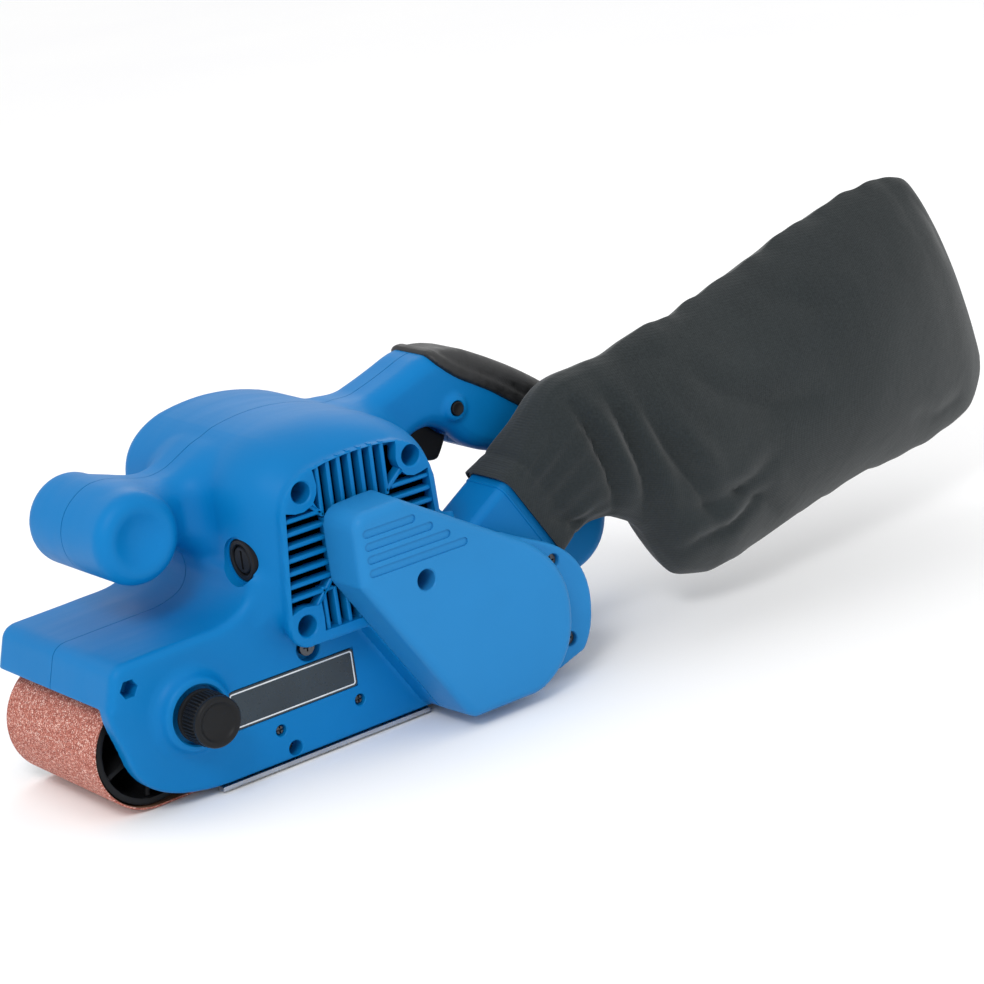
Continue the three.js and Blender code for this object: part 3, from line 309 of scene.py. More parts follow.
def grown(points, distance):
    """The outline moved outwards along its corner normals."""
    points = points if area_of(points) > 0 else points[::-1]
    before, after = np.roll(points, 1, 0), np.roll(points, -1, 0)
    a, b = points - before, after - points
    a /= np.maximum(np.linalg.norm(a, axis=1, keepdims=True), 1e-9)
    b /= np.maximum(np.linalg.norm(b, axis=1, keepdims=True), 1e-9)
    normal = np.column_stack([a[:, 1] + b[:, 1], -(a[:, 0] + b[:, 0])])
    normal /= np.maximum(np.linalg.norm(normal, axis=1, keepdims=True), 1e-9)
    mitre = np.maximum(0.4, np.sum(normal * np.column_stack([a[:, 1], -a[:, 0]]), axis=1, keepdims=True))
    return points + normal * distance / mitre


BODY = path((-95.4, 51), (-91.4, 64.5), (-89.5, 69, -84, 69.3), (-42, 70.5), (-22, 71.5, -19, 86), (88, 86),
            (92, 60, 107, 52), (107, 22), (-60, 22), (-60, 51))
SKIRT = path((-95.4, 51), (-95.5, 44, -91.5, 36, -89.5, 27), (-86, 12, -72, 4.5, -46, 2.8), (88, 2.8),
             (107, 4, 107, 26), (107, 60), (-86, 60))
MOTOR = path((-19, 66), (-19, 116), (-18, 133.3, 2, 139.8), (28, 145.8, 54, 137.3), (82, 128, 84, 104), (86, 66))
VENT = path((-2, 53), (-12, 54, -12, 66), (-8, 112), (-5, 127, 12, 129.5), (32, 132, 53, 129.5),
            (69, 126, 71.5, 108), (73, 66), (72, 53))
HANDLE = path((60, 112), (66, 133), (84, 137.5, 100, 143.6), (114, 149, 130, 142.5), (160, 127, 178, 111),
              (198.5, 85, 198.5, 52), (198.5, 25, 170, 22), (100, 22), (84, 50), (70, 80))
OPENING = path((86, 100), (90, 114, 104, 113.5), (112, 112, 118, 105), (126, 95, 148, 90), (171, 80, 171, 62),
               (170, 51, 156, 50), (116, 50), (96, 54, 90, 76))
HANDLE_CAVITY = np.array([
    (64, 116), (68, 129), (86, 131), (100, 136), (108, 135), (121, 126), (146, 108), (166, 93), (177, 76),
    (192, 71), (193.5, 56), (190, 36), (170, 26), (112, 26), (110, 44), (158, 46), (176, 57), (176, 70),
    (164, 85), (146, 94), (130, 100), (121, 109), (112, 117), (94, 118), (82, 110)], float)
NECK = np.array([(-57.7, 99), (-30, 97), (-19, 92), (-10, 88), (-10, 130), (-16, 129.5), (-57.7, 124)], float)
COVER = path((11.2, 79), (11, 103), (11.5, 111, 20, 111.5), (37, 112), (100, 74), (119, 60, 119, 40),
             (119, 18, 104, 8.6), (98, 4.8, 93, 4.6), (60.5, 4.6), (57, 6, 55, 9))
FLANGE = path((100, 74), (116, 66.5), (140.5, 56, 140.5, 33), (140, 17, 133, 10), (126, 8, 119, 5.5), (96, 5.5))
TRIGGER = path((96, 123.5), (93, 117, 96.5, 109.5), (99, 99, 105.5, 96.5), (112, 94, 113.5, 96.5),
               (116.5, 100.5, 118.5, 105.2), (112, 108.5, 109, 113), (107, 121), (102, 125.5, 96, 123.5))


def grip_line(grow=0.0):
    """Region taken by the soft grip, above its wavy lower edge."""
    return path((108.5 - grow, 160), (108.5 - grow, 147.5 - grow), (109, 143.5 - grow, 112, 140.6 - grow),
                (119, 133.6 - grow, 127.3, 129.1 - grow), (137.9, 122.5 - grow),
                (152, 112 - grow), (172 - grow, 98 - grow, 186 - grow, 76 - grow), (215, 84 - grow), (180, 150))


# ---------------------------------------------------------------- distance fields

def round_max(a, b, radius):
    """Common part of two fields, its outer edge rounded."""
    if radius <= 0:
        return np.maximum(a, b)
    corner = np.sqrt(np.maximum(a + radius, 0) ** 2 + np.maximum(b + radius, 0) ** 2)
    return np.minimum(np.maximum(a, b), -radius) + corner


def round_min(a, b, radius):
    """Joined fields with a fillet between them."""
    corner = np.sqrt(np.maximum(radius - a, 0) ** 2 + np.maximum(radius - b, 0) ** 2)
    return np.maximum(np.minimum(a, b), radius) - corner


class Space:
    """A block of evenly spaced points, with signed distances to simple solids."""

    def __init__(self, low, high, step):
        self.low = np.array(low, float)
        self.step = step
        axes = [np.arange(a, b + step, step, dtype=np.float32) for a, b in zip(low, high)]
        self.x, self.y, self.z = axes
        self.X = axes[0][:, None, None]
        self.Y = axes[1][None, :, None]
        self.Z = axes[2][None, None, :]

    def flat(self, outline):
        """Distance to a side outline, the same all along Y."""
        px, pz = self.x[:, None], self.z[None, :]
        nearest = np.full((len(self.x), len(self.z)), 1e9, np.float32)
        inside = np.zeros(nearest.shape, bool)
        for (ax, az), (bx, bz) in zip(outline, np.roll(outline, -1, 0)):
            ex, ez = bx - ax, bz - az
            length = ex * ex + ez * ez
            if length < 1e-9:
                continue
            t = np.clip(((px - ax) * ex + (pz - az) * ez) / length, 0, 1)
            nearest = np.minimum(nearest, (px - ax - t * ex) ** 2 + (pz - az - t * ez) ** 2)
            if az != bz:
                crosses = (az <= pz) != (bz <= pz)
                inside ^= crosses & (px < ax + (pz - az) / (bz - az) * ex)
        return np.where(inside, -1, 1)[:, None, :] * np.sqrt(nearest)[:, None, :]

    def slab(self, field, y0, y1, soft0=0.0, soft1=None):
        soft1 = soft0 if soft1 is None else soft1
        return round_max(round_max(field, y0 - self.Y, soft0), self.Y - y1, soft1)

    def prism(self, outline, y0, y1, soft0=0.0, soft1=None):
        return self.slab(self.flat(outline), y0, y1, soft0, soft1)

    def rod(self, x, z, radius, y0, y1, soft=0.0):
        return self.slab(np.hypot(self.X - x, self.Z - z) - radius, y0, y1, soft)

    def ball(self, centre, radius):
        x, y, z = centre
        return np.sqrt((self.X - x) ** 2 + (self.Y - y) ** 2 + (self.Z - z) ** 2) - radius

    def sampled(self, field, points):
        base = np.clip(np.floor(points).astype(int), 0, np.array(field.shape) - 2)
        part = points - base
        total = np.zeros(len(points))
        for dx in (0, 1):
            for dy in (0, 1):
                for dz in (0, 1):
                    weight = (np.abs(1 - dx - part[:, 0]) * np.abs(1 - dy - part[:, 1])
                              * np.abs(1 - dz - part[:, 2]))
                    total += weight * field[base[:, 0] + dx, base[:, 1] + dy, base[:, 2] + dz]
        return total

    def surface(self, field):
        """The zero surface as points and quads, its points slid onto the field's own zero."""
        shape = (len(self.x), len(self.y), len(self.z))
        field = np.array(np.broadcast_to(field, shape), dtype=np.float32, order="C")
        grid = openvdb.FloatGrid(float(field.max()))
        grid.copyFromArray(field)
        points, quads = grid.convertToQuads(isovalue=0.0)
        points = points.astype(float)
        for _ in range(3):
            value = self.sampled(field, points)
            slope = np.column_stack([
                self.sampled(field, points + offset) - self.sampled(field, points - offset)
                for offset in np.eye(3) * 0.5])
            size = np.maximum(np.sum(slope ** 2, axis=1), 0.05)
            move = -value / size
            points += slope * np.clip(move, -0.6, 0.6)[:, None]
        return self.low + points * self.step, quads


# ---------------------------------------------------------------- meshes

def make(name, points, faces, *materials):
    mesh = bpy.data.meshes.new(name)
    mesh.from_pydata((np.asarray(points, float) * MM).tolist(), [], [[int(i) for i in face] for face in faces])
    for material in materials:
        mesh.materials.append(material)
    piece = bpy.data.objects.new(name, mesh)
    bpy.context.scene.collection.objects.link(piece)
    return piece


def face_out(piece):
    """Turns all faces of a closed mesh outwards."""
    work = bmesh.new()
    work.from_mesh(piece.data)
    bmesh.ops.recalc_face_normals(work, faces=work.faces)
    if work.calc_volume(signed=True) < 0:
        bmesh.ops.reverse_faces(work, faces=work.faces)
    work.to_mesh(piece.data)
    work.free()
    return piece


def from_field(name, space, field, material):
    """The closed mesh of a field's zero surface."""
    return face_out(make(name, *space.surface(field), MATERIALS[material]))


def bands(rings):
    """Quads between neighbouring rings of point numbers, each ring closed on itself."""
    n = len(rings[0])
    return [[a[k], b[k], b[(k + 1) % n], a[(k + 1) % n]] for a, b in zip(rings, rings[1:]) for k in range(n)]


def bar_faces(n):
    """Faces of a bar of 2 n points, one end after the other: both ends and the sides."""
    return [list(range(n)), list(range(2 * n - 1, n - 1, -1))] + bands([range(n), range(n, 2 * n)])


def prism_mesh(name, outline, y0, y1):
    keep = np.linalg.norm(outline - np.roll(outline, 1, 0), axis=1) > 1e-4
    outline = outline[keep]
    points = [(x, y, z) for y in (y0, y1) for x, z in outline]
    return face_out(make(name, points, bar_faces(len(outline))))


def block(name, x0, x1, y0, y1, z0, z1):
    return prism_mesh(name, oblong(x0, x1, z0, z1), y0, y1)


def lathe(name, profile, centre, axis="Y", sides=64, *materials, ripple=None):
    """A solid turned about an axis; profile is [(radius, along)], from the axis back to the axis."""
    points, rings = [], []
    for index, (radius, along) in enumerate(profile):
        if radius < 1e-6:
            rings.append([len(points)])
            points.append((0.0, along, 0.0))
            continue
        rings.append(list(range(len(points), len(points) + sides)))
        for k in range(sides):
            angle = 2 * math.pi * k / sides
            r = radius + (ripple(index, angle) if ripple else 0.0)
            points.append((r * math.cos(angle), along, r * math.sin(angle)))
    faces = []
    for a, b in zip(rings, rings[1:]):
        for k in range(sides):
            j = (k + 1) % sides
            if len(a) == 1 and len(b) == 1:
                continue
            if len(a) == 1:
                faces.append([a[0], b[k], b[j]])
            elif len(b) == 1:
                faces.append([a[k], b[0], a[j]])
            else:
                faces.append([a[k], b[k], b[j], a[j]])
    points = np.array(points)
    if axis == "X":
        points = points[:, [1, 0, 2]]
    if axis == "Z":
        points = points[:, [0, 2, 1]]
    return face_out(make(name, points + np.array(centre, float), faces, *materials))


def drill(x, z, radius, mouth, floor, lip=0.5, sides=48):
    """Cutter for a round hole along Y that opens at mouth towards -Y, its edge broken by lip."""
    out = mouth - 12
    profile = [(0, out), (radius + lip, out), (radius + lip, mouth), (radius, mouth + lip), (radius, floor),
               (0, floor)]
    return lathe("drill", profile, (x, 0, z), sides=sides)


def rod_mesh(x, z, radius, y0, y1, sides=48):
    return lathe("rod", [(0, y0), (radius, y0), (radius, y1), (0, y1)], (x, 0, z), sides=sides)


def rod_x(y, z, radius, x0, x1, sides=48):
    return lathe("rod", [(0, x0), (radius, x0), (radius, x1), (0, x1)], (0, y, z), "X", sides)


def carve(target, tools, operation="DIFFERENCE"):
    """Cuts the tools out of a piece, or keeps what is in them, one after another, and removes them."""
    for tool in tools:
        before = len(target.data.polygons)
        for solver in ("MANIFOLD", "EXACT"):
            modifier = target.modifiers.new("carve", "BOOLEAN")
            modifier.operation = operation
            modifier.object = tool
            modifier.solver = solver
            shown = target.evaluated_get(bpy.context.evaluated_depsgraph_get())
            mesh = bpy.data.meshes.new_from_object(shown)
            target.modifiers.clear()
            if len(mesh.polygons) > 0.2 * before:
                break
            print("carve: solver", solver, "gave", len(mesh.polygons), "faces for", target.name)
        old = target.data
        target.data = mesh
        bpy.data.meshes.remove(old)
        bpy.data.objects.remove(tool)
    return target


def drop_crumbs(piece, least=60.0):
    """Removes loose bits whose volume, in cubic millimetres, is under the least."""
    work = bmesh.new()
    work.from_mesh(piece.data)
    work.faces.ensure_lookup_table()
    seen, doomed = set(), []
    for face in work.faces:
        if face.index in seen:
            continue
        island, queue = [], [face]
        seen.add(face.index)
        while queue:
            current = queue.pop()
            island.append(current)
            for edge in current.edges:
                for other in edge.link_faces:
                    if other.index not in seen:
                        seen.add(other.index)
                        queue.append(other)
        volume = sum(
            f.verts[0].co.dot(f.verts[i].co.cross(f.verts[i + 1].co)) / 6
            for f in island for i in range(1, len(f.verts) - 1))
        if abs(volume) * 1e9 < least:
            doomed += island
    if doomed:
        print("crumbs:", piece.name, len(doomed), "faces")
        bmesh.ops.delete(work, geom=doomed, context="FACES")
    work.to_mesh(piece.data)
    work.free()


def smooth(piece, sharp=32):
    mesh = piece.data
    mesh.polygons.foreach_set("use_smooth", np.ones(len(mesh.polygons), bool))
    mesh.set_sharp_from_angle(angle=math.radians(sharp))
    mesh.update()


def seat(piece, body, *nodes, sharp=32, weighted=True):
    """Shades a finished piece, puts it on its body and lets it stand for the CAD nodes."""
    smooth(piece, sharp)
    if weighted:
        modifier = piece.modifiers.new("weighted", "WEIGHTED_NORMAL")
        modifier.keep_sharp = True
    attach(piece, body)
    if nodes:
        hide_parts(*nodes)
    return piece


def cad(node):
    """A CAD node's lowest and highest corner, in millimetres."""
    low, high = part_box(node)
    return np.array(low) / MM, np.array(high) / MM


# ---------------------------------------------------------------- housing

SIDE_Y, SIDE_INNER_Y, NOSE_Y, BARREL_Y, VENT_Y = -49.5, -41.3, 47.0, 49.6, -62.0
MOTOR_X, MOTOR_Z, MOTOR_BORE = 30.6, 92.5, 33.5
ROLLER_X, ROLLER_Z = 73.4, 26.5
KNOB_X, KNOB_Z = -57.5, 40.0
BAR_HALF = 17.0
SEAM_HALF = 0.22
FRONT_X, FRONT_Z, FRONT_R, FRONT_HALF = -57.7, 112.0, 20.0, 32.0
MOTOR_SCREWS = [(3.4, 120.0), (60.4, 120.5), (-3.0, 63.0), (64.0, 63.0)]
COVER_SCREWS = [(43.5, 73.8), (121.5, 55.5), (126.0, 17.5)]
FRAME_SCREWS = [(-16.4, 17.4), (24.9, 17.7)]
CLAMP_SCREW = (3.0, 48.9)
LOCK = (117.6, 119.7)
TRIGGER_PIN = (99, 121)
KNOB_BOSS_Y, LOCK_BOSS_Y = -56.4, -18.9
RIB_WIDTH, RIB_PITCH = 1.9, 5.6
BRUSH_CAPS = [("front", -1, -13.4), ("rear", 1, 75.2)]
CAP_Y, CAP_RADIUS, CAP_FORWARD = -40.0, 9.2, 3.8


def front_handle(space):
    round_part = space.slab(np.hypot(space.X - FRONT_X, space.Z - FRONT_Z) - FRONT_R, -FRONT_HALF, FRONT_HALF, 6.5)
    dish_depth, dish_radius = 4.0, 20.0
    for side in (-1, 1):
        centre = (FRONT_X, side * (FRONT_HALF + dish_radius - dish_depth), FRONT_Z)
        round_part = round_max(round_part, -space.ball(centre, dish_radius), 1.6)
    neck = space.prism(NECK, -17.5, 17.5, 10)
    return round_min(round_part, neck, 12)


def motor_body(space):
    """The barrel, drawn in smoothly to the smaller frame round the cooling slots."""
    t = np.clip((-22 - space.Y) / 36, 0, 1)
    drawn = t ** 2.8
    side = space.flat(MOTOR) * (1 - drawn) + space.flat(VENT) * drawn
    return space.slab(side, VENT_Y, BARREL_Y, 1.8, 7)


def rear_handle(space, grow=0.0, soft=8.0):
    side = np.maximum(space.flat(HANDLE) - grow, -(space.flat(OPENING) + grow))
    return space.slab(side, -BAR_HALF - grow, BAR_HALF + grow, soft)


def motor_room(space):
    room = np.minimum(
        space.prism(grown(VENT, -3), VENT_Y + 5, -20),
        space.rod(MOTOR_X, MOTOR_Z, MOTOR_BORE, -30, BARREL_Y - 3))
    upper = space.prism(grown(MOTOR, -5), -20, BARREL_Y - 12)
    room = np.minimum(room, np.maximum(upper, 80 - space.Z))
    room = np.maximum(room, np.minimum(59 - space.Z, space.Y + 200))
    for y0, y1 in ((-60, -52), (41, 60)):
        room = np.maximum(room, -space.rod(MOTOR_X, MOTOR_Z, 15, y0, y1))
    for x, z in MOTOR_SCREWS:
        room = np.maximum(room, -space.rod(x, z, 6.6, -60, -31))
    return room


def housing_solid():
    space = Space((-103, -66, -2), (209, 55, 152), 1.2)
    side_wall = space.prism(SKIRT, SIDE_Y, SIDE_INNER_Y + 0.5, 2.2, 0.6)
    body = np.minimum(space.prism(BODY, SIDE_Y, NOSE_Y, 4), side_wall)
    whole = round_min(body, motor_body(space), 7)
    whole = round_min(whole, front_handle(space), 11)
    whole = round_min(whole, rear_handle(space), 9)
    case = space.prism(COVER, VENT_Y, -46.5, 0.8)
    trimmed = np.maximum(case, np.minimum(space.X - 100, space.Y + 58))
    whole = np.minimum(whole, trimmed)
    whole = np.minimum(whole, space.prism(FLANGE, VENT_Y, -60, 0.4))
    whole = round_min(whole, space.rod(KNOB_X, KNOB_Z, 16, KNOB_BOSS_Y, -46, 2.5), 6)
    whole = round_min(whole, space.rod(*LOCK, 5.6, LOCK_BOSS_Y, -12, 1.3), 2.2)
    whole = np.maximum(whole, -motor_room(space))
    return from_field("housing", space, whole, "blue")


def belt_channel():
    reach = 29.5
    start = math.degrees(math.asin((51 - ROLLER_Z) / reach))
    outline = np.vstack([
        [(-130, -10), (ROLLER_X + reach, -10)],
        arc(ROLLER_X, ROLLER_Z, reach, 0, 90),
        arc(-ROLLER_X, ROLLER_Z, reach, 90, 180 - start, 16),
        [(-130, 51)]])
    return prism_mesh("channel", outline, SIDE_INNER_Y, 80)


def slot_regions():
    """Openings of the vent face round the drive cover."""
    above = np.array([
        (10.3, 127.9), (17, 129.2), (24.8, 129.9), (32, 130.2), (41.8, 130.0), (48, 129.4), (53.6, 128.5),
        (52.4, 121), (53.2, 117.6), (55.0, 115.4), (48.0, 108.6), (48, 106), (11, 106), (11, 109.6),
        (8.6, 114.2), (10.6, 117.4), (11.3, 121)], float)
    front = np.array([
        (-5.6, 113.2), (-1, 111.8), (3.4, 111.6), (8.0, 113.4), (11.4, 109.8), (13, 108), (13, 80), (9.8, 76.2),
        (4.2, 70.2), (1.0, 70.8), (-3.2, 71.4), (-6.5, 70.8), (-9.8, 69.6)], float)
    below = np.array([(5.2, 58.3), (48, 58.3), (48, 66), (20, 80), (12, 78.4), (5.2, 71.2), (5.6, 64)], float)
    rear = np.array([
        (47.6, 108.8), (54.6, 114.9), (57, 112.6), (60.5, 111.6), (64, 112), (68.0, 113), (69.0, 86),
        (60, 88), (47.6, 100)], float)
    return [above, front, below, rear]


def rib(a, b, width, front, back):
    """A bar across the vent from a to b in X and Z, its outer edges broken."""
    along = (b - a) / np.linalg.norm(b - a)
    side = np.array([-along[1], along[0]]) * width / 2
    points, section = [], [(-1, back), (-1, front + 0.5), (-0.45, front), (0.45, front), (1, front + 0.5), (1, back)]
    for end in (a, b):
        for across, y in section:
            x, z = end + side * across
            points.append((x, y, z))
    return points, bar_faces(len(section))


def within(x, z, outline):
    """Whether the points lie inside the outline."""
    inside = np.zeros(np.shape(x), bool)
    for (ax, az), (bx, bz) in zip(outline, np.roll(outline, -1, axis=0)):
        if az != bz:
            crossing = (az > z) != (bz > z)
            inside ^= crossing & (x < (bx - ax) * (z - az) / (bz - az) + ax)
    return inside


def clipped(a, b, regions):
    """The stretch of a bar from a to b that lies over any of the regions."""
    a, b = np.array(a, float), np.array(b, float)
    t = np.linspace(0, 1, 241)
    x, z = (a[:, None] + (b - a)[:, None] * t)
    over = np.any([within(x, z, region) for region in regions], axis=0)
    first, last = t[over][0], t[over][-1]
    return a + (b - a) * first, a + (b - a) * last


def vent_ribs():
    """The bars that stand in the vent's openings, cut to the length of each opening."""
    regions = [grown(region, 0.9) for region in slot_regions()]
    bars = []
    for i in range(7):
        x, z = 13.4 + i * RIB_PITCH, 109.2 - i * 5.62
        bars.append(((x, 131.2), (x - 0.4, 107)))
        bars.append(((-8.2 - i * 0.75, z), (12.5, z)))
    for i in range(4):
        x, z = 8.0 + i * RIB_PITCH, 109.4 - i * RIB_PITCH
        bars.append(((49, z), (72.2, z)))
        bars.append(((x, 57.2), (x, 77 - i * 1.5)))
    bars += [((5.4, 115.4), (13, 107.6)), ((56.4, 116.8), (46.4, 108.4)), ((0.6, 66.0), (12.6, 79.0))]
    points, faces = [], []
    for a, b in bars:
        bar_points, bar_quads = rib(*clipped(a, b, regions), RIB_WIDTH, VENT_Y + 0.9, VENT_Y + 6.5)
        faces += [[i + len(points) for i in face] for face in bar_quads]
        points += bar_points
    ribs = face_out(make("vent_ribs", points, faces, MATERIALS["blue"]))
    seat(ribs, "body", weighted=False)
    return ribs


def duct_outline(grow, count=10):
    """Rounded rectangle of the dust outlet, across and up."""
    half_width, half_height, corner = 13.8 + grow, 23.0 + grow, 4.0 + grow
    corners = [(1, 1, 0), (-1, 1, 90), (-1, -1, 180), (1, -1, 270)]
    parts = [arc(sx * (half_width - corner), sz * (half_height - corner), corner, start, start + 90, count)
             for sx, sz, start in corners]
    return np.vstack(parts)


OUTLET = np.array([133.9, -38.9, 76.2])
OUTLET_TILT = math.radians(32)
OUTLET_LENGTH = 38.0


def outlet_point(along, across, up):
    """A point of the dust outlet, from its own axis, in the frame."""
    c, s = math.cos(OUTLET_TILT), math.sin(OUTLET_TILT)
    return OUTLET + np.array([along * c - up * s, across, along * s + up * c])


def outlet_rings(sections):
    """Points and rings of rounded rectangles [(along, grow)] set along the outlet axis."""
    points, rings = [], []
    for along, grow in sections:
        outline = duct_outline(grow)
        rings.append(range(len(points), len(points) + len(outline)))
        points += [outlet_point(along, a, u) for a, u in outline]
    return points, rings


def duct_way(sections):
    """Cutter through rounded rectangles [(along, grow)], its ends filled."""
    points, rings = outlet_rings(sections)
    faces = [list(rings[0])[::-1], list(rings[-1])] + bands(rings)
    return face_out(make("duct_way", points, faces))


def housing_halves():
    whole = housing_solid()
    print("housing faces", len(whole.data.polygons))
    carve(whole, [
        belt_channel(),
        prism_mesh("cavity", HANDLE_CAVITY, -BAR_HALF + 3, BAR_HALF - 3),
        prism_mesh("grip_seat", grip_line(0.3), -40, 40),
        block("trigger_slot", 90.5, 123, -8, 8, 99, 124),
        block("switch_room", 90.5, 126, -12, 12, 113.6, 124.5),
        rod_mesh(*TRIGGER_PIN, 1.8, -14.4, 14.4, 24),
        rod_x(0, 62, 9.3, 190, 220),
    ])
    right = bpy.data.objects.new("right_shell", whole.data.copy())
    bpy.context.scene.collection.objects.link(right)
    left = whole
    left.name = "left_shell"
    carve(left, [block("keep", -150, 260, -120, -SEAM_HALF, -20, 200)], "INTERSECT")
    carve(right, [block("keep", -150, 260, SEAM_HALF, 120, -20, 200)], "INTERSECT")

    tools = [prism_mesh("slots", region, VENT_Y - 6, VENT_Y + 6) for region in slot_regions()]
    for x, z in MOTOR_SCREWS:
        tools += [drill(x, z, 4.7, VENT_Y, -46.3, 0.6), rod_mesh(x, z, 2.2, -50, -34, 24)]
    tools += [rod_mesh(x, z, 2.4, VENT_Y - 5, -46.5, 24) for x, z in COVER_SCREWS]
    tools += [drill(*CLAMP_SCREW, 6.0, SIDE_Y - 0.1, SIDE_Y + 5)]
    tools += [rod_mesh(MOTOR_X, MOTOR_Z, 11.3, -58.2, -45), rod_mesh(MOTOR_X, MOTOR_Z, 6, -67, -50)]
    tools += [rod_mesh(ROLLER_X, ROLLER_Z, 13.3, -57.2, -40), rod_mesh(ROLLER_X, ROLLER_Z, 8, -67, -50)]
    tools += [drill(KNOB_X, KNOB_Z, 12.8, KNOB_BOSS_Y, SIDE_Y - 1.5, 0.7, 72),
              rod_mesh(KNOB_X, KNOB_Z, 3.4, -76, -38)]
    for _, side, cap_x in BRUSH_CAPS:
        reach = sorted([MOTOR_X + side * 15.6, cap_x + side * 8])
        seat_end = sorted([cap_x - side * 4.4, cap_x + side * 12])
        face_end = sorted([cap_x + side * CAP_FORWARD, cap_x + side * 16])
        tools += [rod_x(-39, MOTOR_Z, 6.3, *reach), rod_x(CAP_Y, MOTOR_Z, CAP_RADIUS + 0.3, *seat_end, 64),
                  rod_x(CAP_Y, MOTOR_Z, CAP_RADIUS + 1.2, *face_end, 64)]
    tools += [
        drill(-84.4, 58.8, 4.2, SIDE_Y, SIDE_Y + 9, 0.4, 6),
        drill(-10.6, 7.5, 3.4, SIDE_Y, SIDE_Y + 9, 0.4),
        drill(*LOCK, 3.5, LOCK_BOSS_Y, -8, 0.4),
        duct_way([(-OUTLET_LENGTH - 1, 0.3), (60, 0.3)]),
        duct_way([(-11, 5.8), (60, 5.8)]),
    ]
    tools += [drill(x, z, 2.6, SIDE_Y, -30, 0.4) for x, z in FRAME_SCREWS]
    low, high = cad("label_plate")
    tools += [block("label_seat", low[0] - 0.3, high[0] + 0.3, SIDE_Y - 5, SIDE_Y + 0.6, low[2] - 0.3, high[2] + 0.3)]
    carve(left, tools)

    vents = [block("vent", 8 + i * 8, 11 + i * 8, BARREL_Y - 8, BARREL_Y + 5, z, z + 10)
             for i in range(6) for z in (62, 112)]
    carve(right, vents + [rod_mesh(MOTOR_X, MOTOR_Z, 11.3, 30, 48.4)])
    drop_crumbs(left)
    drop_crumbs(right)
    seat(left, "body", "left_housing")
    seat(right, "body", "right_housing")


# ---------------------------------------------------------------- drive cover

COVER_Y, COVER_BACK_Y, FLANGE_Y, COVER_WALL = -86.0, -62.6, -70.0, 2.2
GROOVES = [(102.0, 15.0, 42.0), (96.3, 15.2, 50.4), (90.5, 15.4, 58.6), (84.6, 15.6, 66.8)]


def drive_cover():
    space = Space((5, -89, 1), (145, -60, 116), 0.9)
    draft = 0.035 * (space.Y - COVER_Y)
    outer = space.slab(space.flat(COVER) - draft + 0.8, COVER_Y, COVER_BACK_Y, 4.2, 0.3)
    flange = space.prism(FLANGE, FLANGE_Y, COVER_BACK_Y, 1.6, 0.3)
    whole = round_min(outer, flange, 1.6)
    room = space.prism(grown(COVER, -COVER_WALL - 0.9), COVER_Y + COVER_WALL, COVER_BACK_Y + 5)
    whole = np.maximum(whole, -room)
    whole = np.minimum(whole, space.rod(*COVER_SCREWS[0], 6.4, COVER_Y + 1, COVER_BACK_Y))
    cover = from_field("cover_shell", space, whole, "light_blue")
    tools = [drill(*COVER_SCREWS[0], 4.6, COVER_Y, -65.2, 0.6)]
    tools += [drill(x, z, 3.4, FLANGE_Y, -65.2, 0.4) for x, z in COVER_SCREWS[1:]]
    tools += [rod_mesh(x, z, 2.3, -80, -55, 24) for x, z in COVER_SCREWS]
    tools += [prism_mesh("groove", stadium(x0 + 1.9, x1 - 1.9, z, 1.9), COVER_Y - 3, COVER_Y + 0.7)
              for z, x0, x1 in GROOVES]
    carve(cover, tools)
    drop_crumbs(cover)
    seat(cover, "body", "drive_cover")


# ---------------------------------------------------------------- grip, trigger and button

def soft_grip():
    space = Space((94, -21, 70), (208, 21, 151), 0.9)
    base = rear_handle(space, 0.6, 8.4)
    region = space.flat(grip_line())
    skin = round_max(base, region, 2.0)
    band = np.maximum(region, -region - 5.0)
    bead = round_max(rear_handle(space, 1.7, 9.0), band, 1.6)
    whole = round_min(skin, bead, 1.4)
    grip = from_field("soft_grip", space, whole, "rubber")
    drop_crumbs(grip)
    seat(grip, "body", "handle_grip")


def trigger_piece():
    space = Space((90, -9, 92), (122, 9, 128), 0.6)
    piece = from_field("trigger_lever", space, space.prism(TRIGGER, -6.5, 6.5, 2.4), "black")
    carve(piece, [rod_mesh(*TRIGGER_PIN, 1.8, -20, 20, 24)])
    seat(piece, "trigger", "trigger")


def lock_button():
    low, high = cad("lock_button")
    r, y0, y1 = (high[0] - low[0]) / 2, low[1], high[1]
    centre = ((low[0] + high[0]) / 2, 0, (low[2] + high[2]) / 2)
    profile = [(0, y0 + 0.5), (1.5, y0 + 0.4), (2.3, y0 + 0.05), (r - 0.35, y0), (r - 0.08, y0 + 0.2),
               (r, y0 + 0.6), (r, y0 + 5), (r - 0.3, y0 + 5.3), (r - 0.3, y1 - 0.4), (r - 0.6, y1), (0, y1)]
    seat(lathe("lock_cap", profile, centre, "Y", 48, MATERIALS["black"]), "lock_button", "lock_button")


def brush_caps():
    """Screw-in caps over the motor brushes: a ring with a slotted plug inside it."""
    for place, side, cap_x in BRUSH_CAPS:
        back, front, r = cap_x - side * 4, cap_x + side * CAP_FORWARD, CAP_RADIUS
        profile = [(0, back), (r - 0.4, back), (r, back + side * 0.4), (r, front - side * 0.5),
                   (r - 0.5, front), (r - 2.0, front), (r - 2.5, front - side * 0.4), (r - 2.6, front - side * 1.6),
                   (r - 3.1, front - side * 1.6), (r - 3.3, front - side * 0.7), (r - 3.9, front - side * 0.3),
                   (0, front - side * 0.3)]
        name = "cap_" + place
        cap = lathe(name, profile, (0, CAP_Y, MOTOR_Z), "X", 64, MATERIALS["black"])
        slot = sorted([front - side * 1.8, front + side * 2])
        carve(cap, [block("slot", *slot, CAP_Y - 0.75, CAP_Y + 0.75, MOTOR_Z - 4.2, MOTOR_Z + 4.2)])
        seat(cap, "body", "brush_cap_" + place)


# ---------------------------------------------------------------- tracking knob

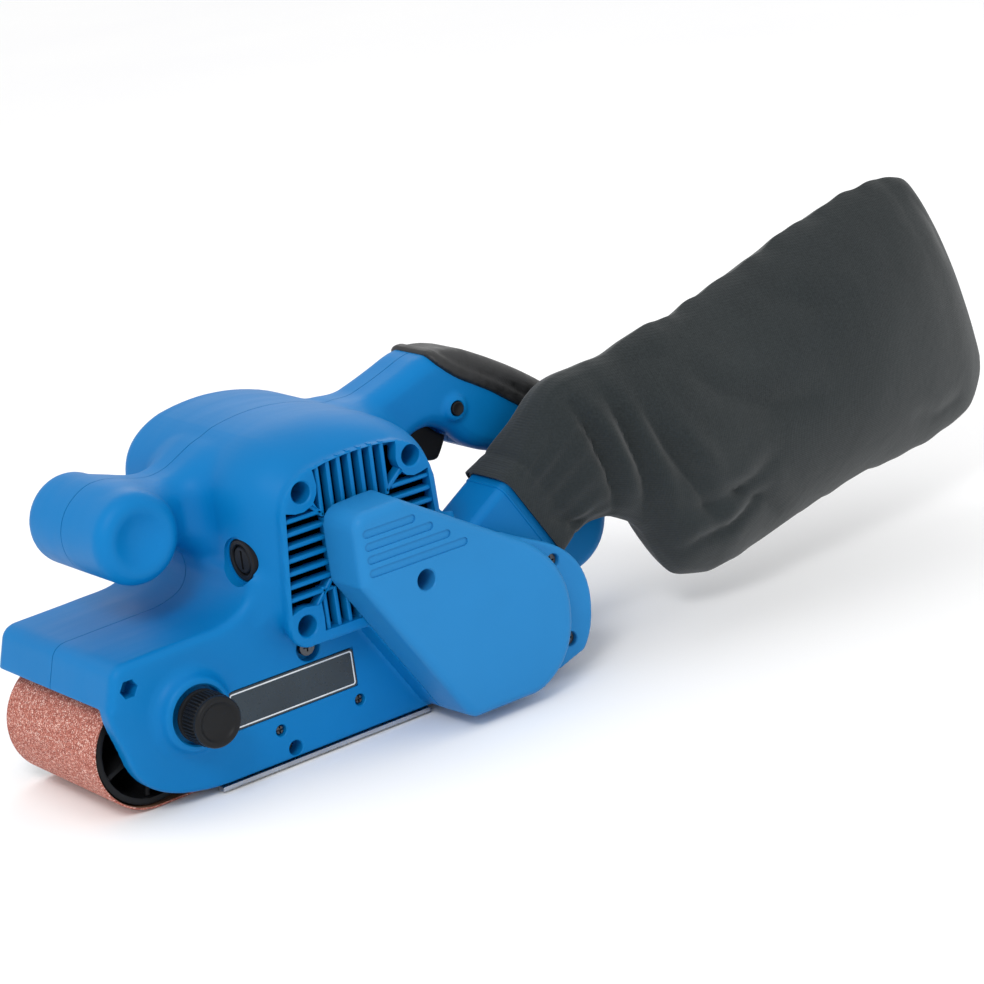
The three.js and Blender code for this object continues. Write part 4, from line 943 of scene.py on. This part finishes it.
def tracking_knob():
    low, high = cad("tracking_knob")
    r, y0, y1 = (high[0] - low[0]) / 2, low[1], high[1]
    ribs = 44
    profile = [(0, y0 + 2.3), (5.5, y0 + 2.2), (7.4, y0 + 1.7), (8.2, y0 + 0.8), (8.9, y0 + 0.15),
               (9.8, y0), (10.5, y0 + 0.25), (11.0, y0 + 0.9), (11.1, y0 + 2.3), (10.7, y0 + 2.9),
               (r - 0.55, y0 + 3.2), (r - 0.45, y0 + 4), (r - 0.3, y1 - 4.2), (r - 0.55, y1 - 3.4),
               (10.3, y1 - 3.1), (10.3, y1 - 2.4), (r - 0.15, y1 - 2.1), (r, y1 - 1.7), (r, y1 - 0.3),
               (r - 0.3, y1), (3.3, y1), (3.3, y0 + 6), (0, y0 + 6)]
    ribbed = {10: 0.15, 11: 0.45, 12: 0.45, 13: 0.15}

    def ripple(index, angle):
        wave = math.cos(ribs * angle)
        return ribbed.get(index, 0.0) * max(-1.0, min(1.0, 1.6 * wave))

    centre = ((low[0] + high[0]) / 2, 0, (low[2] + high[2]) / 2)
    knob = lathe("knob", profile, centre, "Y", ribs * 8, MATERIALS["black"], ripple=ripple)
    seat(knob, "tracking_knob", "tracking_knob", sharp=40)


# ---------------------------------------------------------------- belt and front roller

def sanding_belt():
    """The belt as a stadium-shaped band, grit outside and cloth inside."""
    half_width, thick, radius = 37.5, 1.0, 26.5
    count, straight = 56, 30         # steps round a roller and along a straight run
    turns = []
    for side, start in ((1, -90), (-1, 90)):
        centre = np.array([side * ROLLER_X, ROLLER_Z])
        turns.append((centre, arc(*centre, 1, start, start + 180, count) - centre))
    loops = []
    for (centre, normals), (next_centre, _) in zip(turns, turns[1:] + turns[:1]):
        loops += [(centre, normal) for normal in normals]
        loops += [(centre * (1 - t) + next_centre * t, normals[-1]) for t in np.arange(1, straight) / straight]
    inner, outer = half_width - 0.15, half_width - 0.1
    ring = [(-half_width, -thick + 0.15), (-inner, -thick), (inner, -thick), (half_width, -thick + 0.15),
            (half_width, -0.2), (outer, 0.0), (-outer, 0.0), (-half_width, -0.2)]
    points = []
    for centre, normal in loops:
        for y, depth in ring:
            x, z = centre + normal * (radius + depth)
            points.append((x, y, z))
    n, m = len(loops), len(ring)
    rings = [range(i * m, i * m + m) for i in range(n)]
    faces = bands(rings + rings[:1])
    cloth = [k < 4 for _ in rings for k in range(m)]
    belt = make("abrasive_belt", points, faces, MATERIALS["grit"], MATERIALS["belt_back"])
    belt.data.polygons.foreach_set("material_index", np.array(cloth, dtype=np.int32))
    face_out(belt)
    seat(belt, "body", "sanding_belt", weighted=False)


def front_roller():
    low, high = cad("front_roller")
    x, z = (low[0] + high[0]) / 2, (low[2] + high[2]) / 2
    half, radius, spokes = (high[1] - low[1]) / 2, (high[0] - low[0]) / 2, 6
    space = Space((x - radius - 2, -half - 2, z - radius - 2), (x + radius + 2, half + 2, z + radius + 2), 0.8)
    wheel = space.rod(x, z, radius, -half, half, 1.0)
    for y0, y1 in ((-half - 5, -6), (6, half + 5)):
        wheel = np.maximum(wheel, -space.rod(x, z, 21.8, y0, y1))
    across, up = space.X - x, space.Z - z
    for i in range(spokes):
        angle = 0.42 + i * 2 * math.pi / spokes
        along = across * math.cos(angle) + up * math.sin(angle)
        aside = np.abs(up * math.cos(angle) - across * math.sin(angle)) - 1.1
        arm = np.maximum(np.maximum(aside, -along), along - 23)
        arm = np.maximum(arm, np.abs(space.Y) - half + 3)
        wheel = np.minimum(wheel, arm)
    wheel = np.minimum(wheel, space.rod(x, z, 8, -half, half, 0.8))
    roller = from_field("front_wheel", space, wheel, "black")
    carve(roller, [rod_mesh(x, z, 4.3, -60, 60, 40)])
    drop_crumbs(roller)
    seat(roller, "front_roller", "front_roller")


# ---------------------------------------------------------------- label, duct

def label():
    low, high = cad("label_plate")

    def ring(inset, corner, y):
        x0, x1, z0, z1 = low[0] + inset, high[0] - inset, low[2] + inset, high[2] - inset
        centres = [(x1 - corner, z1 - corner), (x0 + corner, z1 - corner), (x0 + corner, z0 + corner),
                   (x1 - corner, z0 + corner)]
        parts = [arc(*centre, corner, 90 * i, 90 * i + 90, 6) for i, centre in enumerate(centres)]
        return [(x, y, z) for x, z in np.vstack(parts)]

    front = low[1]
    rings = [ring(0, 1.8, high[1]), ring(0, 1.8, front + 0.15), ring(0.15, 1.65, front)]
    n = len(rings[0])
    points = sum(rings, [])
    faces = [list(range(n)), list(range(3 * n - 1, 2 * n - 1, -1))]
    for r in range(2):
        faces += [[r * n + k, r * n + (k + 1) % n, (r + 1) * n + (k + 1) % n, (r + 1) * n + k] for k in range(n)]
    plate = face_out(make("label_face", points, faces, MATERIALS["label"]))
    seat(plate, "body", "label_plate")
    rings = [ring(0.9, 1.2, front + 0.05), ring(0.9, 1.2, front - 0.06), ring(1.5, 0.8, front - 0.06),
             ring(1.5, 0.8, front + 0.05)]
    points = sum(rings, [])
    faces = []
    for r in range(4):
        s = (r + 1) % 4
        faces += [[r * n + k, r * n + (k + 1) % n, s * n + (k + 1) % n, s * n + k] for k in range(n)]
    border = face_out(make("label_border", points, faces, MATERIALS["pale"]))
    seat(border, "body")


def tube(name, outer, inner, material):
    """A rounded rectangular tube along the outlet axis; outer and inner are [(along, grow)]."""
    points, rings = outlet_rings(outer + inner)
    return face_out(make(name, points, bands(rings + rings[:1]), material))


def dust_duct():
    """The outlet tube with its bead, and the snap collar sewn into the mouth of the bag."""
    back = -OUTLET_LENGTH
    outer = [(back, -0.3), (back + 0.3, 0.0), (-12.6, 0.0), (-12.2, 0.35), (-11.4, 0.35), (-11.0, 0.0),
             (-0.3, 0.0), (0, -0.3)]
    inner = [(0, -2.2), (-0.3, -2.5), (back + 0.3, -2.5), (back, -2.2)]
    seat(tube("duct_tube", outer, inner, MATERIALS["blue"]), "body", "dust_duct", sharp=40)
    outer = [(-8.5, 1.3), (-8.2, 1.6), (-5.2, 1.6), (-4.9, 1.3), (-4.3, 1.3), (-4.0, 1.6), (-1.3, 1.6), (-1.0, 1.3)]
    inner = [(-1.0, 0.6), (-1.3, 0.3), (-8.2, 0.3), (-8.5, 0.6)]
    seat(tube("collar_ring", outer, inner, MATERIALS["black"]), "dust_bag", "bag_collar", sharp=40)


# ---------------------------------------------------------------- dust bag

# centre x, y, z; height; width; lean in degrees; squareness; seam sharpness
BAG = np.array([
    (126.3, -38.9, 71.4, 52.8, 34, 32, 12, 0.34),
    (137.5, -39.2, 78.2, 53.4, 34.4, 31, 7, 0.38),
    (145, -41, 84, 59.2, 37.2, 22, 3.8, 0.48),
    (155, -43.5, 92, 70.5, 41.2, 12, 2.7, 0.58),
    (172, -47, 93.6, 76.5, 47.2, 6, 2.4, 0.66),
    (186, -49, 89.5, 89, 52.2, 4, 2.3, 0.7),
    (193, -50, 85.7, 104.5, 55.2, 1, 2.2, 0.74),
    (202, -51, 81.7, 118.5, 58.2, -1, 2.2, 0.76),
    (218, -51.3, 79, 126, 60.2, 3, 2.2, 0.77),
    (247, -48, 82.7, 128.8, 65.2, 5.5, 2.2, 0.79),
    (285, -45.5, 91, 131, 71.2, 7, 2.2, 0.8),
    (318, -45, 98.3, 134.6, 72.2, 7.5, 2.2, 0.8),
    (347, -45, 102.4, 139.5, 63.2, 8.5, 2.2, 0.8),
    (373, -45, 105.4, 137.6, 49.2, 11, 2.3, 0.79),
    (394.5, -45, 107, 123.5, 29.2, 14, 2.4, 0.77),
    (402.5, -45, 106.3, 100, 16.2, 17, 2.4, 0.75),
    (407.5, -45, 102.5, 74, 6.2, 18, 2.4, 0.7),
])
BAG_RINGS, BAG_AROUND = 220, 160
HEM = 12.0                       # stitched line, from the mouth


def through(keys, values, at):
    """Smooth curve through the values at increasing keys."""
    slopes = np.gradient(values, keys, axis=0)
    i = np.clip(np.searchsorted(keys, at, side="right") - 1, 0, len(keys) - 2)
    width = keys[i + 1] - keys[i]
    t = ((at - keys[i]) / width)[:, None]
    a, b = values[i], values[i + 1]
    ma, mb = slopes[i] * width[:, None], slopes[i + 1] * width[:, None]
    return ((2 * t ** 3 - 3 * t ** 2 + 1) * a + (t ** 3 - 2 * t ** 2 + t) * ma
            + (-2 * t ** 3 + 3 * t ** 2) * b + (t ** 3 - t ** 2) * mb)


def crease(x, z, line, width, depth):
    """Valley along a line of (x, z), with a soft ridge beside it, fading at both ends."""
    line = np.array(line, float)
    steps = np.linalg.norm(np.diff(line, axis=0), axis=1)
    total = steps.sum()
    best = np.full(x.shape, 1e9)
    along = np.zeros(x.shape)
    aside = np.zeros(x.shape)
    run = 0.0
    for (ax, az), (bx, bz), length in zip(line, line[1:], steps):
        ex, ez = (bx - ax) / length, (bz - az) / length
        t = np.clip((x - ax) * ex + (z - az) * ez, 0, length)
        dx, dz = x - ax - t * ex, z - az - t * ez
        distance = np.hypot(dx, dz)
        closer = distance < best
        best = np.where(closer, distance, best)
        along = np.where(closer, (run + t) / total, along)
        aside = np.where(closer, ex * dz - ez * dx, aside)
        run += length
    fade = np.sin(np.pi * np.clip(along, 0.02, 0.98)) ** 0.6
    valley = -1.15 * np.exp(-(np.sqrt(best ** 2 + 0.6) / width) ** 1.3)
    ridge = 0.42 * np.exp(-((aside - 2.1 * width) / (1.5 * width)) ** 2) * np.exp(-(best / (4 * width)) ** 4)
    return depth * fade * (valley + ridge)


NEAR_CREASES = [
    ([(150, 122), (157, 104), (164, 84), (171, 58)], 3.0, 7.0),
    ([(166, 124), (172, 102), (180, 78), (186, 48)], 3.4, 6.0),
    ([(180, 112), (190, 90), (203, 68), (216, 44)], 4.6, 5.4),
    ([(196, 34), (206, 40), (222, 42), (244, 54)], 3.6, 4.0),
    ([(198, 78), (218, 64), (244, 50), (262, 34)], 4.4, 3.4),
    ([(190, 62), (204, 56), (224, 58), (250, 70)], 4.4, 3.0),
    ([(134, 70), (146, 64), (160, 62)], 2.6, 2.6),
    ([(206, 122), (224, 106), (250, 94), (284, 90)], 6.0, 2.8),
    ([(184, 128), (204, 128), (230, 138)], 4.4, 2.0),
    ([(262, 142), (290, 130), (316, 130)], 6.0, 1.6),
    ([(346, 62), (370, 54), (394, 58)], 5.0, 2.0),
    ([(372, 164), (384, 146), (392, 124)], 5.0, 2.0),
]
FAR_CREASES = [
    ([(150, 120), (158, 96), (168, 66)], 4.5, 3.8),
    ([(172, 124), (182, 96), (190, 66), (190, 48)], 5.0, 4.0),
    ([(206, 100), (232, 76), (262, 62)], 7.0, 3.0),
    ([(244, 136), (262, 112), (290, 96)], 7.0, 1.8),
    ([(340, 70), (366, 60), (394, 66)], 6.0, 1.8),
    ([(200, 60), (224, 44), (252, 36)], 5.0, 2.4),
]


def bag_surface():
    keys = np.concatenate([[0], np.cumsum(np.linalg.norm(np.diff(BAG[:, [0, 2]], axis=0), axis=1))])
    at = np.linspace(0, keys[-1], BAG_RINGS)
    rows = through(keys, BAG, at)
    angle = 2 * np.pi * np.arange(BAG_AROUND) / BAG_AROUND
    up = np.sin(angle)
    side = np.sign(np.cos(angle)) * (np.abs(np.cos(angle)) > 1e-9)
    centre, height, width = rows[:, None, :3], rows[:, None, 3], rows[:, None, 4]
    lean = np.radians(rows[:, None, 5])
    across = side * np.maximum(0, 1 - np.abs(up) ** rows[:, None, 6]) ** rows[:, None, 7] * width / 2
    rise = up * height / 2
    gather = np.clip(1 - (at - 10) / 55, 0, 1)[:, None] * np.clip((at - 6) / 10, 0, 1)[:, None]
    pleat = 0.7 * gather * np.cos(17 * angle + 0.6 * np.sin(3 * angle))
    across = across + side * pleat
    wander = np.sin(at / 4.3 + 2.1 * np.sin(at / 23.0)) + 0.8 * np.sin(at / 9.7 + 1.0) + 0.6 * np.sin(at / 2.6)
    from_mouth = np.clip((at - 40) / 60, 0, 1)[:, None]
    ripple = wander[:, None] * from_mouth
    near_seam = np.clip((np.abs(up) - 0.93) / 0.07, 0, 1)
    rise = rise + np.sign(up) * near_seam * (0.45 * ripple - 0.7)
    sway = np.cos(at / 6.1 + 1.7 * np.sin(at / 19.0))[:, None]
    across = across + 0.6 * near_seam * sway * from_mouth
    hem = 1 - 0.022 * np.exp(-((at - HEM) / 1.3) ** 2)[:, None]
    rise, across = rise * hem, across * hem
    x = centre[..., 0] - rise * np.sin(lean)
    y = centre[..., 1] + across
    z = centre[..., 2] + rise * np.cos(lean)
    full = np.clip(np.abs(across) / (width / 2 + 1e-6), 0, 1) ** 0.6
    move = np.zeros(x.shape)
    for line, wide, deep in NEAR_CREASES:
        move += np.where(side < 0, crease(x, z, line, wide, deep), 0)
    for line, wide, deep in FAR_CREASES:
        move += np.where(side > 0, crease(x, z, line, wide, deep), 0)
    y = y + side * move * full
    return np.stack([x, y, z], axis=-1)


def dust_bag():
    surface = bag_surface()
    rings, around, _ = surface.shape
    points = surface.reshape(-1, 3)
    faces = []
    for i in range(rings - 1):
        for k in range(around):
            j = (k + 1) % around
            faces.append([i * around + k, (i + 1) * around + k, (i + 1) * around + j, i * around + j])
    last = (rings - 1) * around
    quarter = around // 4
    for k in range(quarter, 3 * quarter):
        a, b = k, k + 1
        c, d = (2 * quarter - b) % around, (2 * quarter - a) % around
        quad = [last + a % around, last + b % around, last + c, last + d]
        if len(set(quad)) == 4:
            faces.append(quad[::-1])
        elif len(set(quad)) == 3:
            faces.append(list(dict.fromkeys(quad))[::-1])
    bag = make("fabric_bag", points, faces, MATERIALS["fabric"])
    work = bmesh.new()
    work.from_mesh(bag.data)
    bmesh.ops.recalc_face_normals(work, faces=work.faces)
    work.to_mesh(bag.data)
    work.free()
    thick = bag.modifiers.new("thickness", "SOLIDIFY")
    thick.thickness = 0.9 * MM
    thick.offset = -1
    shown = bag.evaluated_get(bpy.context.evaluated_depsgraph_get())
    mesh = bpy.data.meshes.new_from_object(shown)
    bag.modifiers.clear()
    bag.data = mesh
    seat(bag, "dust_bag", "dust_bag", sharp=60, weighted=False)


# ---------------------------------------------------------------- kept CAD pieces

FINISHES = {
    "steel": ("side_strip", "armature_shaft", "motor_bearing_left", "motor_bearing_right", "drive_shaft",
              "drive_bearing_left", "drive_bearing_right", "platen", "front_axle", "tension_spring", "lever_pin",
              "tracking_screw", "trigger_pin", "trigger_spring", "lock_button_spring", "small_pulley"),
    "dark_steel": ("clamp_screw", "front_yoke", "release_lever", "armature_core"),
    "aluminium": ("belt_frame", "stator_core", "large_pulley"),
    "black": ("brush_cap_front", "brush_cap_rear", "cooling_fan", "switch_module", "bag_collar", "cord_gland"),
    "rubber": ("toothed_belt", "drive_roller"),
    "copper": ("field_coil_upper", "field_coil_lower"),
    "commutator": ("commutator",),
    "brass": ("brush_holder_front", "brush_holder_rear"),
    "carbon": ("brush_front", "brush_rear"),
    "cork": ("platen_pad",),
}


def dress_cad():
    by_node = {node: finish for finish, nodes in FINISHES.items() for node in nodes}
    for name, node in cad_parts.items():
        finish = by_node.get(name, "dark_steel" if "screw" in name else "black")
        node.data.materials.clear()
        node.data.materials.append(MATERIALS[finish])
        if node.hide_render:
            continue
        edge = node.modifiers.new("edge", "BEVEL")
        edge.width = 0.2 * MM
        edge.segments = 2
        edge.limit_method = "ANGLE"
        edge.angle_limit = math.radians(40)
        edge.harden_normals = False


# ---------------------------------------------------------------- stage, camera and light

def stage():
    reach = 6000.0
    floor = make("floor", [(-reach, -reach, -0.6), (reach, -reach, -0.6), (reach, reach, -0.6), (-reach, reach, -0.6)],
                 [[0, 1, 2, 3]], MATERIALS["floor"])

    world = bpy.context.scene.world or bpy.data.worlds.new("studio")
    bpy.context.scene.world = world
    world.use_nodes = True
    background = world.node_tree.nodes["Background"]
    background.inputs["Color"].default_value = (1.0, 1.0, 1.0, 1.0)
    background.inputs["Strength"].default_value = 1.0
    bpy.context.scene.view_settings.view_transform = "Standard"

    def softbox(name, place, aim, size, power):
        light = bpy.data.lights.new(name, "AREA")
        light.shape = "RECTANGLE"
        light.size, light.size_y = size
        light.energy = power
        lamp = bpy.data.objects.new(name, light)
        lamp.location = place
        lamp.rotation_euler = (Vector(aim) - Vector(place)).to_track_quat("-Z", "Y").to_euler()
        bpy.context.scene.collection.objects.link(lamp)

    softbox("key", (-0.9, -0.9, 1.3), (0.1, 0, 0.06), (0.5, 0.5), 10)
    softbox("top", (0.25, 0.3, 1.6), (0.1, 0, 0.05), (1.4, 0.9), 0.8)
    softbox("rim", (0.9, 1.0, 0.8), (0.1, 0, 0.08), (0.7, 0.5), 1.5)


CAMERA_AZIMUTH = math.radians(35.3162)
CAMERA_RISE = math.radians(16.7178)
CAMERA_ROLL = math.radians(7.6801)
CAMERA_DISTANCE = 1298.0448
CAMERA_LENS = 110.9
AIM_FROM = np.array([-73.4, 0.0, 0.0])
AIM_RIGHT, AIM_UP = 161.7051, 125.71


def camera():
    ca, sa = math.cos(CAMERA_AZIMUTH), math.sin(CAMERA_AZIMUTH)
    ce, se = math.cos(CAMERA_RISE), math.sin(CAMERA_RISE)
    level = np.array([ca, -sa, 0.0])
    upright = np.array([sa * se, ca * se, ce])
    back = np.array([-sa * ce, -ca * ce, se])
    cr, sr = math.cos(CAMERA_ROLL), math.sin(CAMERA_ROLL)
    right = cr * level - sr * upright
    up = sr * level + cr * upright
    place = AIM_FROM + AIM_RIGHT * right + AIM_UP * up + CAMERA_DISTANCE * back
    data = bpy.data.cameras.new("camera")
    data.lens = CAMERA_LENS
    data.sensor_width = 36
    data.clip_start, data.clip_end = 0.05, 30
    eye = bpy.data.objects.new("camera", data)
    bpy.context.scene.collection.objects.link(eye)
    turn = Matrix((right.tolist(), up.tolist(), back.tolist())).transposed()
    eye.matrix_world = Matrix.Translation(Vector((place * MM).tolist())) @ turn.to_4x4()
    bpy.context.scene.camera = eye


housing_halves()
vent_ribs()
drive_cover()
soft_grip()
trigger_piece()
lock_button()
brush_caps()
tracking_knob()
sanding_belt()
front_roller()
label()
dust_duct()
dust_bag()
dress_cad()
stage()
camera()
